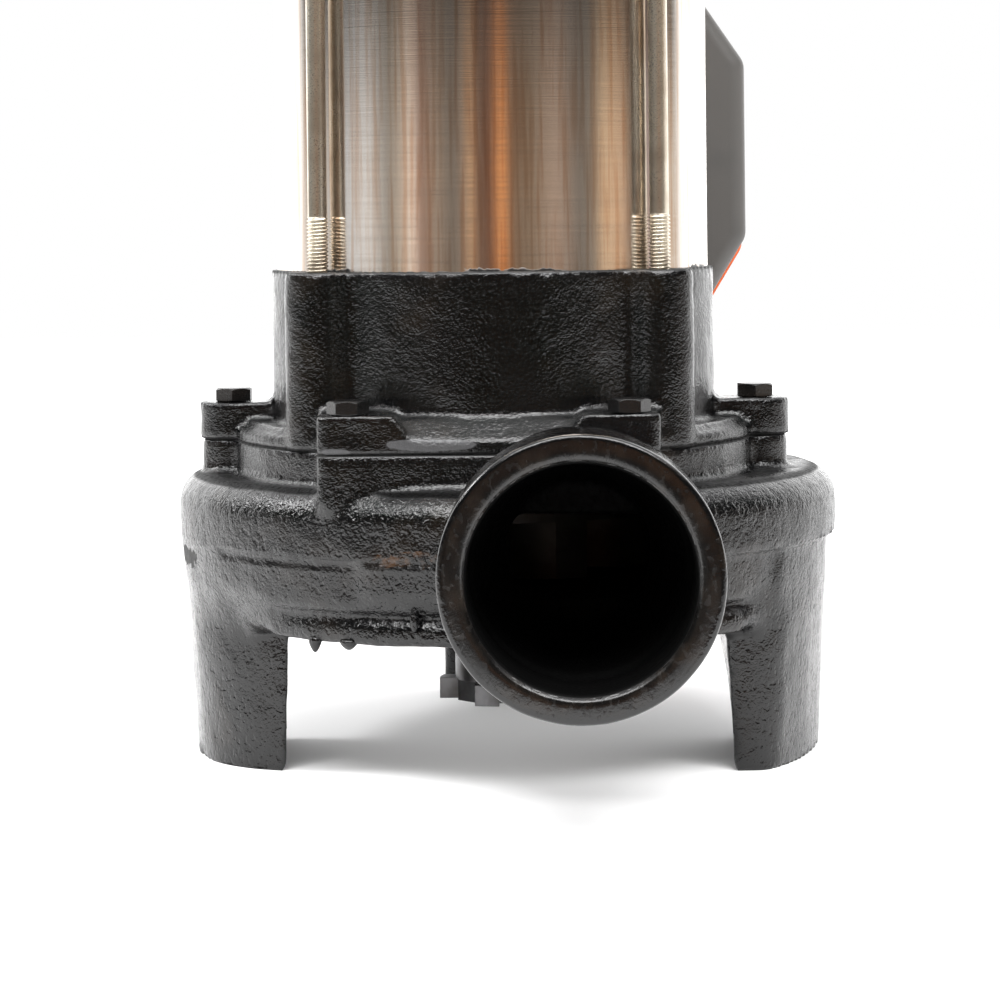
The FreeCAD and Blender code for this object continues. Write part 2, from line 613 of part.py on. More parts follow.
def shaft():
    lower_bore, upper_bore = LOWER_BEARING[0], UPPER_BEARING[0]
    clip_z = LOWER_BEARING_Z - CIRCLIP_THICK
    lower_top = LOWER_BEARING_Z + LOWER_BEARING[2]
    core_z, core_top = STATOR_Z - END_RING_HIGH - 10, STATOR_Z + STATOR_LENGTH + END_RING_HIGH + 4
    end_z = UPPER_BEARING_Z + UPPER_BEARING[2] + 2
    seal_top = OIL_CEILING_Z + 2
    bar = turned([(0, SHAFT_END_Z), (SHAFT_R_WET, SHAFT_END_Z), (SHAFT_R_WET, IMPELLER_SHOULDER_Z),
                  (SHAFT_R_SEAL, IMPELLER_SHOULDER_Z), (SHAFT_R_SEAL, seal_top),
                  (lower_bore, seal_top), (lower_bore, clip_z), (lower_bore - 0.5, clip_z),
                  (lower_bore - 0.5, LOWER_BEARING_Z), (lower_bore, LOWER_BEARING_Z), (lower_bore, lower_top),
                  (SHAFT_COLLAR_R, lower_top), (SHAFT_COLLAR_R, core_z), (SHAFT_R_CORE, core_z),
                  (SHAFT_R_CORE, core_top), (SHAFT_R_CORE - 1.5, core_top),
                  (SHAFT_R_CORE - 1.5, UPPER_BEARING_Z), (upper_bore, UPPER_BEARING_Z),
                  (upper_bore, end_z), (0, end_z)])
    screw_hole = cylinder(SCREW_R, SHAFT_END_Z - 1, SHAFT_END_Z - CUTTER_FLOOR + SCREW_LENGTH + 2)
    return bar.cut([screw_hole, key_block(*KEY_Z)])


def shaft_circlip():
    z = LOWER_BEARING_Z - CIRCLIP_THICK
    ring = tube(LOWER_BEARING[0] + 2.2, LOWER_BEARING[0] - 0.5, z, LOWER_BEARING_Z)
    return ring.cut(block((0, 20), (-2.5, 2.5), (z - 1, LOWER_BEARING_Z + 1)))


def ball_bearing(sizes, bottom):
    """Outer ring, inner ring, balls and cage of a deep-groove bearing."""
    bore, outside, width, ball_r = sizes
    pitch = (bore + outside) / 2
    middle = bottom + width / 2
    groove = Part.makeTorus(pitch, ball_r + BALL_GAP, Vector(0, 0, middle))
    land = ball_r * 0.62
    outer = tube(outside, pitch + land, bottom, bottom + width).cut(groove)
    inner = tube(pitch - land, bore, bottom, bottom + width).cut(groove)
    ball = Part.makeSphere(ball_r, Vector(pitch, 0, middle))
    cage_half, thick = ball_r * 1.25, land * 0.84
    pocket = Part.makeCylinder(ball_r + POCKET_GAP, 3 * thick, Vector(pitch - 1.5 * thick, 0, middle),
                               Vector(1, 0, 0))
    cage = tube(pitch + thick / 2, pitch - thick / 2, middle - cage_half, middle + cage_half)
    return outer, inner, spread(ball, BALLS), cage.cut(spread(pocket, BALLS))


def seal_seat(bottom):
    return tube(SEAT_R, SHAFT_R_SEAL + 0.6, bottom, bottom + SEAT_HIGH)


def seal_face(bottom):
    return tube(FACE_R, SHAFT_R_SEAL + 0.01, bottom, bottom + FACE_HIGH)


def lower_face_z():
    return LOWER_SEAT_Z + SEAT_HIGH + FACE_GAP


def upper_face_z():
    return UPPER_SEAT_Z - FACE_GAP - FACE_HIGH


def seal_spring():
    low = lower_face_z() + FACE_HIGH + SPRING_WIRE_R
    high = upper_face_z() - SPRING_WIRE_R
    pitch = (high - low) / SPRING_TURNS
    helix = Part.makeHelix(pitch, high - low, SPRING_R)
    section = Part.Wire(Part.makeCircle(SPRING_WIRE_R, Vector(SPRING_R, 0, 0), Vector(0, 1, 0)))
    coil = Part.Wire(helix.Edges).makePipeShell([section], True, True)
    coil.translate(Vector(0, 0, low))
    return coil


def oil_chamber_cover():
    bottom = SHOULDER_Z - CEILING_THICK + LEDGE_THICK
    top = SEAM_Z + COVER_RISE
    web = bottom + OIL_COVER_WEB
    seat_top = LOWER_SEAT_Z + SEAT_HIGH
    rim = SPIGOT_R - SEAT_GAP
    groove = rim - OIL_GROOVE_DEEP
    groove_z = SEAM_Z - OIL_GROOVE_BELOW
    hub = SEAT_R + 5
    return turned([(SHAFT_R_SEAL + 2, bottom), (rim, bottom), (rim, groove_z), (groove, groove_z),
                   (groove, groove_z + OIL_GROOVE_WIDE), (rim, groove_z + OIL_GROOVE_WIDE), (rim, top),
                   (OIL_R, top), (OIL_R, web), (hub, web), (hub, seat_top - 1),
                   (SEAT_R + SEAT_GAP, seat_top - 1),
                   (SEAT_R + SEAT_GAP, LOWER_SEAT_Z), (SHAFT_R_SEAL + 2, LOWER_SEAT_Z)])


def o_ring(outside, section, middle):
    """Round ring whose outer line touches the bore of radius outside."""
    return Part.makeTorus(outside - section, section, Vector(0, 0, middle))


def columns_prism(bottom, top):
    """Barrel with the four tie-rod columns, blended with hollow fillets."""
    prism = cylinder(BARREL_R, bottom, top)
    for angle in COLUMN_ANGLES:
        prism = prism.fuse(cylinder(COLUMN_R, bottom, top, *on_circle(COLUMN_CIRCLE_R, angle)))
    prism = prism.removeSplitter()

    def crossing(point):
        away = math.hypot(point.x, point.y)
        return abs(away - BARREL_R) < 0.1
    return prism.makeFillet(COLUMN_FILLET, upright_edges(prism, crossing))


def on_plug_axis(shape):
    """Moves a solid that was made standing on +Z to lie on the oil plug's axis."""
    shape.rotate(Vector(0, 0, 0), Vector(0, 1, 0), 90)
    shape.translate(Vector(0, 0, PLUG_Z))
    shape.rotate(Vector(0, 0, 0), UP, PLUG_ANGLE)
    return shape


def bracket_outside():
    """Barrel, columns, flange front with its bevel, and the raised seats of the bolts."""
    ear_top = SEAM_Z + EAR_THICK
    base, bevel_top = SEAM_Z + BAR_BASE, SEAM_Z + BAR_TOP
    half = BAR_HALF - BOSS_ROUND
    corners = [(-BAR_FRONT, SEAM_Z), (-BAR_FRONT, base), (-BAR_FRONT + BAR_BEVEL, bevel_top),
               (0, bevel_top), (0, SEAM_Z)]
    profile = [Vector(-half, y, z) for y, z in corners]
    front = Part.Face(Part.makePolygon(profile + profile[:1])).extrude(Vector(2 * half, 0, 0))
    solids = [columns_prism(SEAM_Z, RIM_Z), flange(SEAM_Z, base), front, swung(front, 180)]
    solids.append(flat_sided_disc(FLANGE_R - 3, BAR_FRONT - BAR_BEVEL, base, base + 2))
    return joined(solids + bolt_seats(SEAM_Z, ear_top, EAR_R_UPPER))


def motor_bracket():
    """Upper casting: oil chamber below the web, lower bearing seat and motor spigot above it."""
    bore, outside, width = LOWER_BEARING[:3]
    spigot_top = RIM_Z + SPIGOT_HIGH
    spigot_r = SHELL_R - SHELL_WALL - SEAT_GAP
    bearing_top = LOWER_BEARING_Z + width + 1
    seat_bottom = UPPER_SEAT_Z
    boss = on_plug_axis(cylinder(PLUG_BOSS_R, BARREL_R - 8, BARREL_R + PLUG_BOSS_OUT))
    casting = joined([bracket_outside(), cylinder(spigot_r, RIM_Z - 1, spigot_top), boss])
    motor_side = turned([(BEARING_HUB_R, bearing_top), (BEARING_HUB_R, WEB_TOP_Z),
                         (MOTOR_CAVITY_R, WEB_TOP_Z), (MOTOR_CAVITY_R, spigot_top + 1),
                         (0, spigot_top + 1), (0, bearing_top)])
    oil_side = turned([(0, SEAM_Z - 1), (OIL_R, SEAM_Z - 1), (OIL_R, OIL_CEILING_Z),
                       (SEAT_R + 4, OIL_CEILING_Z), (SEAT_R + 4, seat_bottom), (0, seat_bottom)])
    cuts = [motor_side, oil_side,
            cylinder(SPIGOT_R, SEAM_Z - 1, SEAM_Z + COVER_RISE),
            cylinder(SEAT_R + SEAT_GAP, seat_bottom - 1, seat_bottom + SEAT_HIGH),
            cylinder(bore + 2.5, seat_bottom, bearing_top),
            cylinder(outside + SEAT_GAP, LOWER_BEARING_Z, bearing_top + 1),
            ring_groove(spigot_r, RIM_Z + 3.0),
            on_plug_axis(cylinder(PLUG_R + SEAT_GAP, OIL_R - 2, BARREL_R + 9))]
    cuts += bolt_holes(BOLT_R + BOLT_GAP, SEAM_Z - 1, SEAM_Z + EAR_THICK + 1)
    cuts += column_holes(TIE_THREAD_R + SEAT_GAP, RIM_Z - TIE_DEPTH - 2, RIM_Z + 1)
    return casting.cut(cuts).removeSplitter()


def ring_groove(radius, bottom):
    return tube(radius + 1, radius - O_RING_DEEP, bottom, bottom + O_RING_WIDE)


def column_holes(radius, bottom, top):
    return [cylinder(radius, bottom, top, *on_circle(COLUMN_CIRCLE_R, a)) for a in COLUMN_ANGLES]


def shell_o_ring(groove_bottom):
    section = (O_RING_DEEP + SEAT_GAP) / 2
    return o_ring(SHELL_R - SHELL_WALL, section, groove_bottom + O_RING_WIDE / 2)


def oil_cover_o_ring():
    section = (OIL_GROOVE_DEEP + SEAT_GAP) / 2
    return o_ring(SPIGOT_R, section, SEAM_Z - OIL_GROOVE_BELOW + OIL_GROOVE_WIDE / 2)


def casing_bolts():
    """Hex bolts; the two side ones stand with a corner to the front, the others with a flat."""
    seat = SEAM_Z + EAR_THICK
    bolts = []
    for angle in BOLT_ANGLES:
        x, y = on_circle(BOLT_CIRCLE_R, angle)
        head = hexagon(BOLT_HEAD_FLATS, seat, seat + BOLT_HEAD_HIGH, x, y, 30 if angle % 180 == 0 else 0)
        bolts.append(head.fuse(cylinder(BOLT_R, SEAM_Z - BOLT_DEPTH, seat, x, y)).removeSplitter())
    return bolts


def oil_plug():
    seat = BARREL_R + PLUG_BOSS_OUT + PLUG_WASHER
    plug = cylinder(PLUG_R, OIL_R + 1, seat)
    plug = plug.fuse(hexagon(PLUG_FLATS, seat, seat + 5)).removeSplitter()
    return on_plug_axis(plug)


def oil_plug_washer():
    seat = BARREL_R + PLUG_BOSS_OUT
    return on_plug_axis(tube(PLUG_R + 3.5, PLUG_R + SEAT_GAP, seat, seat + PLUG_WASHER))


def motor_shell():
    return tube(SHELL_R, SHELL_R - SHELL_WALL, RIM_Z, SHELL_TOP)


def slots(deep_from, deep_to, wide, bottom, top):
    return spread(block((deep_from, deep_to), (-wide / 2, wide / 2), (bottom, top)), SLOTS)


def stator_core():
    top = STATOR_Z + STATOR_LENGTH
    bottom_of_slot = STATOR_BORE_R + SLOT_TIP + SLOT_DEEP
    core = tube(SHELL_R - SHELL_WALL - SEAT_GAP, STATOR_BORE_R, STATOR_Z, top)
    cuts = slots(STATOR_BORE_R + SLOT_TIP, bottom_of_slot, SLOT_WIDE, STATOR_Z - 1, top + 1)
    cuts += slots(STATOR_BORE_R - 1, STATOR_BORE_R + SLOT_TIP + 1, SLOT_MOUTH, STATOR_Z - 1, top + 1)
    return core.cut(cuts)


def stator_windings():
    """Copper bars in the slots, joined by the end turns above and below the core."""
    low, high = STATOR_Z, STATOR_Z + STATOR_LENGTH
    inner = STATOR_BORE_R + SLOT_TIP
    outer = inner + SLOT_DEEP
    bars = slots(inner + SEAT_GAP, outer - SEAT_GAP, SLOT_WIDE - 2 * SEAT_GAP, low, high)
    turns = []
    for bottom, top in ((low - WINDING_OVERHANG, low), (high, high + WINDING_OVERHANG)):
        turns.append(tube(outer + 3, inner, bottom, top))
    return joined(turns + bars)


def rotor_core():
    return tube(STATOR_BORE_R - AIR_GAP, SHAFT_R_CORE, STATOR_Z, STATOR_Z + STATOR_LENGTH)


def rotor_end_rings():
    low, high = STATOR_Z, STATOR_Z + STATOR_LENGTH
    outer = STATOR_BORE_R - AIR_GAP - 2
    inner = outer - 9
    return [tube(outer, inner, low - END_RING_HIGH, low), tube(outer, inner, high, high + END_RING_HIGH)]


def upper_bearing_bracket():
    bore, outside, width = UPPER_BEARING[:3]
    top = SHELL_TOP - SPIGOT_HIGH
    bearing_top = UPPER_BEARING_Z + width
    bottom = UPPER_BEARING_Z - BRACKET_SKIRT
    rim = SHELL_R - SHELL_WALL - SEAT_GAP
    hub = outside + BRACKET_WALL
    plate = bearing_top - 1
    inside, low = rim - BRACKET_WALL, bottom + 2 * BRACKET_SKIRT
    profile = [(outside + SEAT_GAP, bottom), (hub, bottom), (hub, plate), (inside, plate),
               (inside, low), (rim, low), (rim, top), (0, top), (0, bearing_top + 3),
               (bore + 2.5, bearing_top + 3), (bore + 2.5, bearing_top), (outside + SEAT_GAP, bearing_top)]
    bracket = turned(profile)
    windows = spread(cylinder(BRACKET_WINDOW_R, bottom, top + 1, (hub + inside) / 2), 3, 90)
    cradle = []
    half, deep = CRADLE_THICK / 2, CRADLE_DEEP / 2
    for x in (-CRADLE_X, CRADLE_X):
        cradle.append(block((x - half, x + half), (CAPACITOR_Y - deep, CAPACITOR_Y + deep),
                            (top, top + CRADLE_HIGH)))
    bracket = joined([bracket.cut(windows)] + cradle)
    return bracket.cut(capacitor(SEAT_GAP))


def capacitor(grown=0.0):
    """Motor capacitor lying across the upper bearing bracket."""
    z = SHELL_TOP - SPIGOT_HIGH + CAPACITOR_R + 1
    return Part.makeCylinder(CAPACITOR_R + grown, CAPACITOR_LONG + 2 * grown,
                             Vector(-CAPACITOR_LONG / 2 - grown, CAPACITOR_Y, z), Vector(1, 0, 0))


def terminal_block():
    top = SHELL_TOP - SPIGOT_HIGH
    half, deep = TERMINALS * TERMINAL_PITCH / 2, TERMINAL_DEEP / 2
    body = block((-half, half), (TERMINAL_Y - deep, TERMINAL_Y + deep), (top, top + TERMINAL_HIGH))
    holes = [cylinder(TERMINAL_HOLE_R, top + TERMINAL_HIGH / 2, top + TERMINAL_HIGH + 1,
                      TERMINAL_PITCH * (i - (TERMINALS - 1) / 2), TERMINAL_Y)
             for i in range(TERMINALS)]
    return body.cut(holes)


def dome_level():
    return SHELL_TOP + DOME_HIGH


def on_float_axis(shape):
    """Lays a solid made standing on +Z along the horizontal axis of the float gland."""
    shape.rotate(Vector(0, 0, 0), Vector(0, 1, 0), 90)
    shape.translate(Vector(0, 0, FLOAT_GLAND_Z))
    shape.rotate(Vector(0, 0, 0), UP, FLOAT_AZIMUTH)
    return shape


def top_cover():
    """Cast cap over the cable chamber, with the tie-rod ears, gland bosses and handle lugs."""
    top = dome_level()
    spigot_r = SHELL_R - SHELL_WALL - SEAT_GAP
    low = SHELL_TOP - SPIGOT_HIGH
    dome = cylinder(BARREL_R, SHELL_TOP, top)
    dome = dome.makeFillet(DOME_ROUND, level_edges(dome, top))
    ears = columns_prism(SHELL_TOP, SHELL_TOP + TOP_EAR_HIGH)
    lugs = [cylinder(LUG_R, top - 12, top + LUG_HIGH, x) for x in (-HANDLE_BOLT_X, HANDLE_BOLT_X)]
    power_boss = cylinder(GLAND_FLATS / 2 + 2, top - 8, top + GLAND_BOSS, 0, GLAND_Y)
    float_boss = on_float_axis(cylinder(FLOAT_BOSS_R, BARREL_R - 12, FLOAT_GLAND_START))
    cap = joined([dome, ears, cylinder(spigot_r, low, SHELL_TOP + 1), power_boss, float_boss] + lugs)
    chamber = cylinder(MOTOR_CAVITY_R, low - 1, top - DOME_WALL)
    chamber = chamber.makeFillet(DOME_ROUND - 3, level_edges(chamber, top - DOME_WALL))
    cuts = [chamber, ring_groove(spigot_r, SHELL_TOP - 3.0 - O_RING_WIDE),
            cylinder(GLAND_THREAD_R + SEAT_GAP, top - DOME_WALL - 1, top + GLAND_BOSS + 1, 0, GLAND_Y),
            on_float_axis(cylinder(FLOAT_THREAD_R + SEAT_GAP, MOTOR_CAVITY_R - 4, FLOAT_GLAND_START + 1))]
    cuts += column_holes(TIE_THREAD_R + BOLT_GAP, SHELL_TOP - 1, SHELL_TOP + TOP_EAR_HIGH + 1)
    cuts += column_holes(EAR_POCKET_R, SHELL_TOP + TOP_EAR_HIGH, top + 1)
    bolt_end = top + LUG_HIGH + HANDLE_THICK - HANDLE_BOLT_LENGTH
    cuts += [cylinder(HANDLE_BOLT_R + SEAT_GAP, bolt_end - 4, top + LUG_HIGH + 1, x)
             for x in (-HANDLE_BOLT_X, HANDLE_BOLT_X)]
    return cap.cut(cuts).removeSplitter()


def tie_rods():
    """Studs with a thinner shank between their rolled threads."""
    low, high = RIM_Z - TIE_DEPTH, SHELL_TOP + TOP_EAR_HIGH + WASHER_HIGH + NUT_HIGH + 3
    plain = (RIM_Z + TIE_THREAD_ABOVE, SHELL_TOP - 6)
    rods = []
    for angle in COLUMN_ANGLES:
        x, y = on_circle(COLUMN_CIRCLE_R, angle)
        rod = turned([(0, low), (TIE_THREAD_R, low), (TIE_THREAD_R, plain[0]), (TIE_ROD_R, plain[0]),
                      (TIE_ROD_R, plain[1]), (TIE_THREAD_R, plain[1]), (TIE_THREAD_R, high), (0, high)], x, y)
        rods.append(rod)
    return rods


def tie_rod_washers():
    low = SHELL_TOP + TOP_EAR_HIGH
    return [tube(WASHER_R, TIE_THREAD_R + 0.2, low, low + WASHER_HIGH, *on_circle(COLUMN_CIRCLE_R, a))
            for a in COLUMN_ANGLES]


def tie_rod_nuts():
    low = SHELL_TOP + TOP_EAR_HIGH + WASHER_HIGH
    nuts = []
    for angle in COLUMN_ANGLES:
        x, y = on_circle(COLUMN_CIRCLE_R, angle)
        nut = hexagon(BOLT_HEAD_FLATS, low, low + NUT_HIGH, x, y, angle)
        nuts.append(nut.cut(cylinder(TIE_THREAD_R + SEAT_GAP, low - 1, low + NUT_HIGH + 1, x, y)))
    return nuts


def handle():
    """Flat bar bent into a bow, its feet turned inwards onto the lugs."""
    foot = dome_level() + LUG_HIGH
    top = foot + HANDLE_HIGH
    outer, inner = HANDLE_HALF, HANDLE_HALF - HANDLE_THICK
    toe = HANDLE_BOLT_X - LUG_R
    points = [(-toe, foot), (-outer, foot), (-outer, top), (outer, top), (outer, foot), (toe, foot),
              (toe, foot + HANDLE_THICK), (inner, foot + HANDLE_THICK), (inner, top - HANDLE_THICK),
              (-inner, top - HANDLE_THICK), (-inner, foot + HANDLE_THICK), (-toe, foot + HANDLE_THICK)]
    wire = Part.makePolygon([Vector(x, -HANDLE_WIDE / 2, z) for x, z in points + points[:1]])
    bow = Part.Face(wire).extrude(Vector(0, HANDLE_WIDE, 0))

    def corners(level, half):
        return [e for e in bow.Edges if e.BoundBox.XLength < 0.01 and e.BoundBox.ZLength < 0.01
                and abs(e.BoundBox.ZMin - level) < 0.01 and abs(abs(e.BoundBox.XMin) - half) < 0.01]
    bow = bow.makeFillet(HANDLE_BEND, corners(top, outer))
    bow = bow.makeFillet(HANDLE_BEND - HANDLE_THICK, corners(top - HANDLE_THICK, inner))
    holes = [cylinder(HANDLE_BOLT_R + BOLT_GAP, foot - 1, foot + HANDLE_THICK + 1, x)
             for x in (-HANDLE_BOLT_X, HANDLE_BOLT_X)]
    return bow.cut(holes)


def handle_bolts():
    seat = dome_level() + LUG_HIGH + HANDLE_THICK
    bolts = []
    for x in (-HANDLE_BOLT_X, HANDLE_BOLT_X):
        head = hexagon(HANDLE_BOLT_FLATS, seat, seat + HANDLE_HEAD_HIGH, x)
        shank = cylinder(HANDLE_BOLT_R, seat - HANDLE_BOLT_LENGTH, seat, x)
        bolts.append(head.fuse(shank).removeSplitter())
    return bolts


def power_gland_nut():
    seat = dome_level() + GLAND_BOSS
    nut = hexagon(GLAND_FLATS, seat, seat + GLAND_HIGH, 0, GLAND_Y)
    nut = nut.common(cone(GLAND_FLATS * 0.64, GLAND_FLATS * 0.5, seat, seat + GLAND_HIGH, 0, GLAND_Y))
    nut = nut.fuse(cylinder(GLAND_THREAD_R, seat - 8, seat, 0, GLAND_Y))
    return nut.cut(cylinder(GROMMET_R + SEAT_GAP, seat - 9, seat + GLAND_HIGH + 1, 0, GLAND_Y))


def power_gland_grommet():
    seat = dome_level() + GLAND_BOSS
    low, high = seat - 8, seat + GLAND_HIGH
    lip = high + 3
    return turned([(POWER_BORE_R, low), (GROMMET_R, low), (GROMMET_R, high), (GROMMET_R - 1.2, lip),
                   (POWER_BORE_R, lip)], 0, GLAND_Y)


def float_gland_nut():
    start = FLOAT_GLAND_START
    nut = hexagon(FLOAT_GLAND_FLATS, start, start + FLOAT_NUT)
    nut = nut.fuse(cylinder(FLOAT_THREAD_R, start - 8, start))
    return on_float_axis(nut.cut(cylinder(CABLE_R + 1.6 + SEAT_GAP, start - 9, start + FLOAT_NUT + 1)))


def float_gland_sleeve():
    """Rubber sleeve, gripped in the nut and tapering along the cable."""
    start, mouth = FLOAT_GLAND_START, FLOAT_GLAND_START + FLOAT_NUT
    end = mouth + FLOAT_SLEEVE
    bore = CABLE_R + SEAT_GAP
    sleeve = turned([(bore, start - 8), (CABLE_R + 1.6, start - 8), (CABLE_R + 1.6, mouth),
                     (CABLE_R + 3.2, mouth), (CABLE_R + 1.2, end), (bore, end)])
    return on_float_axis(sleeve)


def cable_route():
    """Corners of the float cable's route, from inside the sleeve, over and down to the boot."""
    reach, level = FLOAT_GLAND_START + FLOAT_NUT + FLOAT_SLEEVE + CABLE_LEAD, FLOAT_GLAND_Z
    corners = [(reach - CABLE_RUN, level), (reach, level)]
    for slope in (30, 60):
        reach += CABLE_RUN * math.cos(math.radians(slope))
        level -= CABLE_RUN * math.sin(math.radians(slope))
        corners.append((reach, level))
    end = FLOAT_BOTTOM + FLOAT_HIGH + BOOT_HIGH
    corners += [(FLOAT_REACH, level + (end - level) * 0.52), (FLOAT_REACH, end)]
    return [Vector(*on_circle(r, FLOAT_AZIMUTH), z) for r, z in corners]


def bent_route(points):
    """Straight runs joined by tangent arcs; also the radius of every arc."""
    edges, radii, start = [], [], points[0]
    for i in range(1, len(points) - 1):
        before, after = points[i] - points[i - 1], points[i + 1] - points[i]
        reach = BEND_SHARE * min(before.Length, after.Length)
        turn = before.getAngle(after)
        before.normalize()
        after.normalize()
        first, last = points[i] - before * reach, points[i] + after * reach
        bisector = after - before
        bisector.normalize()
        radius = reach / math.tan(turn / 2)
        sagitta = radius / math.cos(turn / 2) - radius
        edges.append(Part.makeLine(start, first))
        edges.append(Part.Arc(first, points[i] + bisector * sagitta, last).toShape())
        radii.append(radius)
        start = last
    edges.append(Part.makeLine(start, points[-1]))
    return Part.Wire(edges), radii


def float_cable():
    points = cable_route()
    wire, radii = bent_route(points)
    along = points[1] - points[0]
    section = Part.Wire(Part.makeCircle(CABLE_R, points[0], along))
    cable = wire.makePipeShell([section], True, False)
    expected = wire.Length * math.pi * CABLE_R ** 2
    print("float cable: length %.1f mm, radii %s" % (wire.Length, ["%.0f" % r for r in radii]))
    print("float cable: volume %.0f, section times length %.0f" % (cable.Volume, expected))
    return cable


def float_body(inset, lip=0.0):
    """Rounded float, drawn in outline as seen along Y, smaller all round by inset, its foot wider by lip."""
    foot, half, neck = FLOAT_FOOT_HALF, FLOAT_HALF, FLOAT_NECK_HALF
    corner = FLOAT_CORNER_HIGH * (1 - lip / (half - foot))
    sides = [(foot + lip, 0), (half, corner), (half, FLOAT_HIGH - FLOAT_NECK_HIGH), (neck, FLOAT_HIGH)]
    outline = sides + [(-x, z) for x, z in reversed(sides)]
    front = FLOAT_Y - FLOAT_THICK / 2 + inset
    points = [Vector(FLOAT_X + x, front, FLOAT_BOTTOM + z) for x, z in outline]
    face = Part.Face(Part.makePolygon(points + points[:1]))
    if inset:
        face = face.makeOffset2D(-inset, 2)
    body = face.extrude(Vector(0, FLOAT_THICK - 2 * inset, 0))
    body = body.makeFillet(FLOAT_ROUND - inset, [e for e in body.Edges if e.BoundBox.YLength > 1])
    rims = [e for e in body.Edges if e.BoundBox.YLength < 0.01]
    return body.makeFillet(FLOAT_EDGE - inset, rims)


def float_slice(front, back, lip=0.0):
    """Part of the hollow float wall between two planes across Y."""
    wall = float_body(0, lip).cut(float_body(FLOAT_WALL))
    reach = FLOAT_HIGH
    return wall.common(block((FLOAT_X - reach, FLOAT_X + reach), (front, back),
                             (FLOAT_BOTTOM - 1, FLOAT_BOTTOM + reach + 1)))


def float_shells():
    """Front shell, rear shell and the flat seal between them."""
    seam = FLOAT_Y + FLOAT_SEAM
    front, rear = FLOAT_Y - FLOAT_THICK, FLOAT_Y + FLOAT_THICK
    return (float_slice(front, seam - SEAL_THICK / 2), float_slice(seam + SEAL_THICK / 2, rear, FLOAT_LIP),
            float_slice(seam - SEAL_THICK / 2, seam + SEAL_THICK / 2))


def float_boot():
    low = FLOAT_BOTTOM + FLOAT_HIGH
    return turned([(0, low), (BOOT_R, low), (BOOT_R, low + 4), (CABLE_R + 1.6, low + BOOT_HIGH),
                   (0, low + BOOT_HIGH)], FLOAT_X, FLOAT_Y)


def ball_tube_inner():
    return BALL_R + BALL_RUN


def float_ball_tube():
    floor = FLOAT_BOTTOM + FLOAT_WALL
    inner = ball_tube_inner()
    return tube(inner + BALL_TUBE_WALL, inner, floor, floor + BALL_TUBE_HIGH, FLOAT_X, FLOAT_Y)


def float_ball():
    return Part.makeSphere(BALL_R, Vector(FLOAT_X, FLOAT_Y, FLOAT_BOTTOM + FLOAT_WALL + BALL_R))


def float_micro_switch():
    """Switch body across the top of the ball tube, its plunger reaching down into it."""
    low = FLOAT_BOTTOM + FLOAT_WALL + BALL_TUBE_HIGH
    stop = FLOAT_BOTTOM + FLOAT_WALL + 2 * BALL_R + BALL_TRAVEL + BALL_RUN
    body = block((FLOAT_X - 14, FLOAT_X + 14), (FLOAT_Y - 6, FLOAT_Y + 6), (low, low + 16))
    return body.fuse(cylinder(2.5, stop, low, FLOAT_X, FLOAT_Y)).removeSplitter()


def float_weight():
    floor = FLOAT_BOTTOM + FLOAT_WALL
    inner = ball_tube_inner() + BALL_TUBE_WALL + SEAT_GAP
    return tube(WEIGHT_R, inner, floor, floor + WEIGHT_HIGH, FLOAT_X, FLOAT_Y)


BUILT = {}


def save(name, *shapes):
    """Writes one node; loose pieces of one kind share a node as separate solids."""
    solids = [s for shape in shapes for s in shape.Solids]
    BUILT[name] = solids
    whole = solids[0] if len(solids) == 1 else Part.makeCompound(solids)
    whole.exportStep("parts/%s.step" % name)


os.makedirs("parts", exist_ok=True)

save("volute_casing", volute_casing())
save("suction_cover", suction_cover())
save("cover_screws", *cover_screws())
save("cutter_ring", cutter_ring())
save("cutter_ring_screws", *cutter_ring_screws())
save("oil_chamber_cover", oil_chamber_cover())
save("oil_cover_o_ring", oil_cover_o_ring())
save("motor_bracket", motor_bracket())
save("casing_bolts", *casing_bolts())
save("oil_plug", oil_plug())
save("oil_plug_washer", oil_plug_washer())
save("lower_seal_seat", seal_seat(LOWER_SEAT_Z))
save("upper_seal_seat", seal_seat(UPPER_SEAT_Z))

save("shaft", shaft())
save("shaft_circlip", shaft_circlip())
save("cutter_head", cutter_head())
save("cutter_screw", cutter_screw())
save("impeller", impeller())
save("impeller_key", key_block(*KEY_Z))
save("lower_seal_face", seal_face(lower_face_z()))
save("upper_seal_face", seal_face(upper_face_z()))
save("seal_spring", seal_spring())
save("rotor_core", rotor_core())
save("rotor_end_rings", *rotor_end_rings())

BEARINGS = (("lower", LOWER_BEARING, LOWER_BEARING_Z), ("upper", UPPER_BEARING, UPPER_BEARING_Z))
for end, sizes, bottom in BEARINGS:
    outer, inner, balls, cage = ball_bearing(sizes, bottom)
    save(end + "_bearing_outer_ring", outer)
    save(end + "_bearing_inner_ring", inner)
    save(end + "_bearing_balls", *balls)
    save(end + "_bearing_cage", cage)

save("motor_shell", motor_shell())
save("lower_o_ring", shell_o_ring(RIM_Z + 3))
save("upper_o_ring", shell_o_ring(SHELL_TOP - 3 - O_RING_WIDE))
save("stator_core", stator_core())
save("stator_windings", stator_windings())
save("upper_bearing_bracket", upper_bearing_bracket())
save("capacitor", capacitor())
save("terminal_block", terminal_block())
save("top_cover", top_cover())
save("tie_rods", *tie_rods())
save("tie_rod_washers", *tie_rod_washers())
save("tie_rod_nuts", *tie_rod_nuts())
save("handle", handle())
save("handle_bolts", *handle_bolts())
save("power_gland_nut", power_gland_nut())
save("power_gland_grommet", power_gland_grommet())

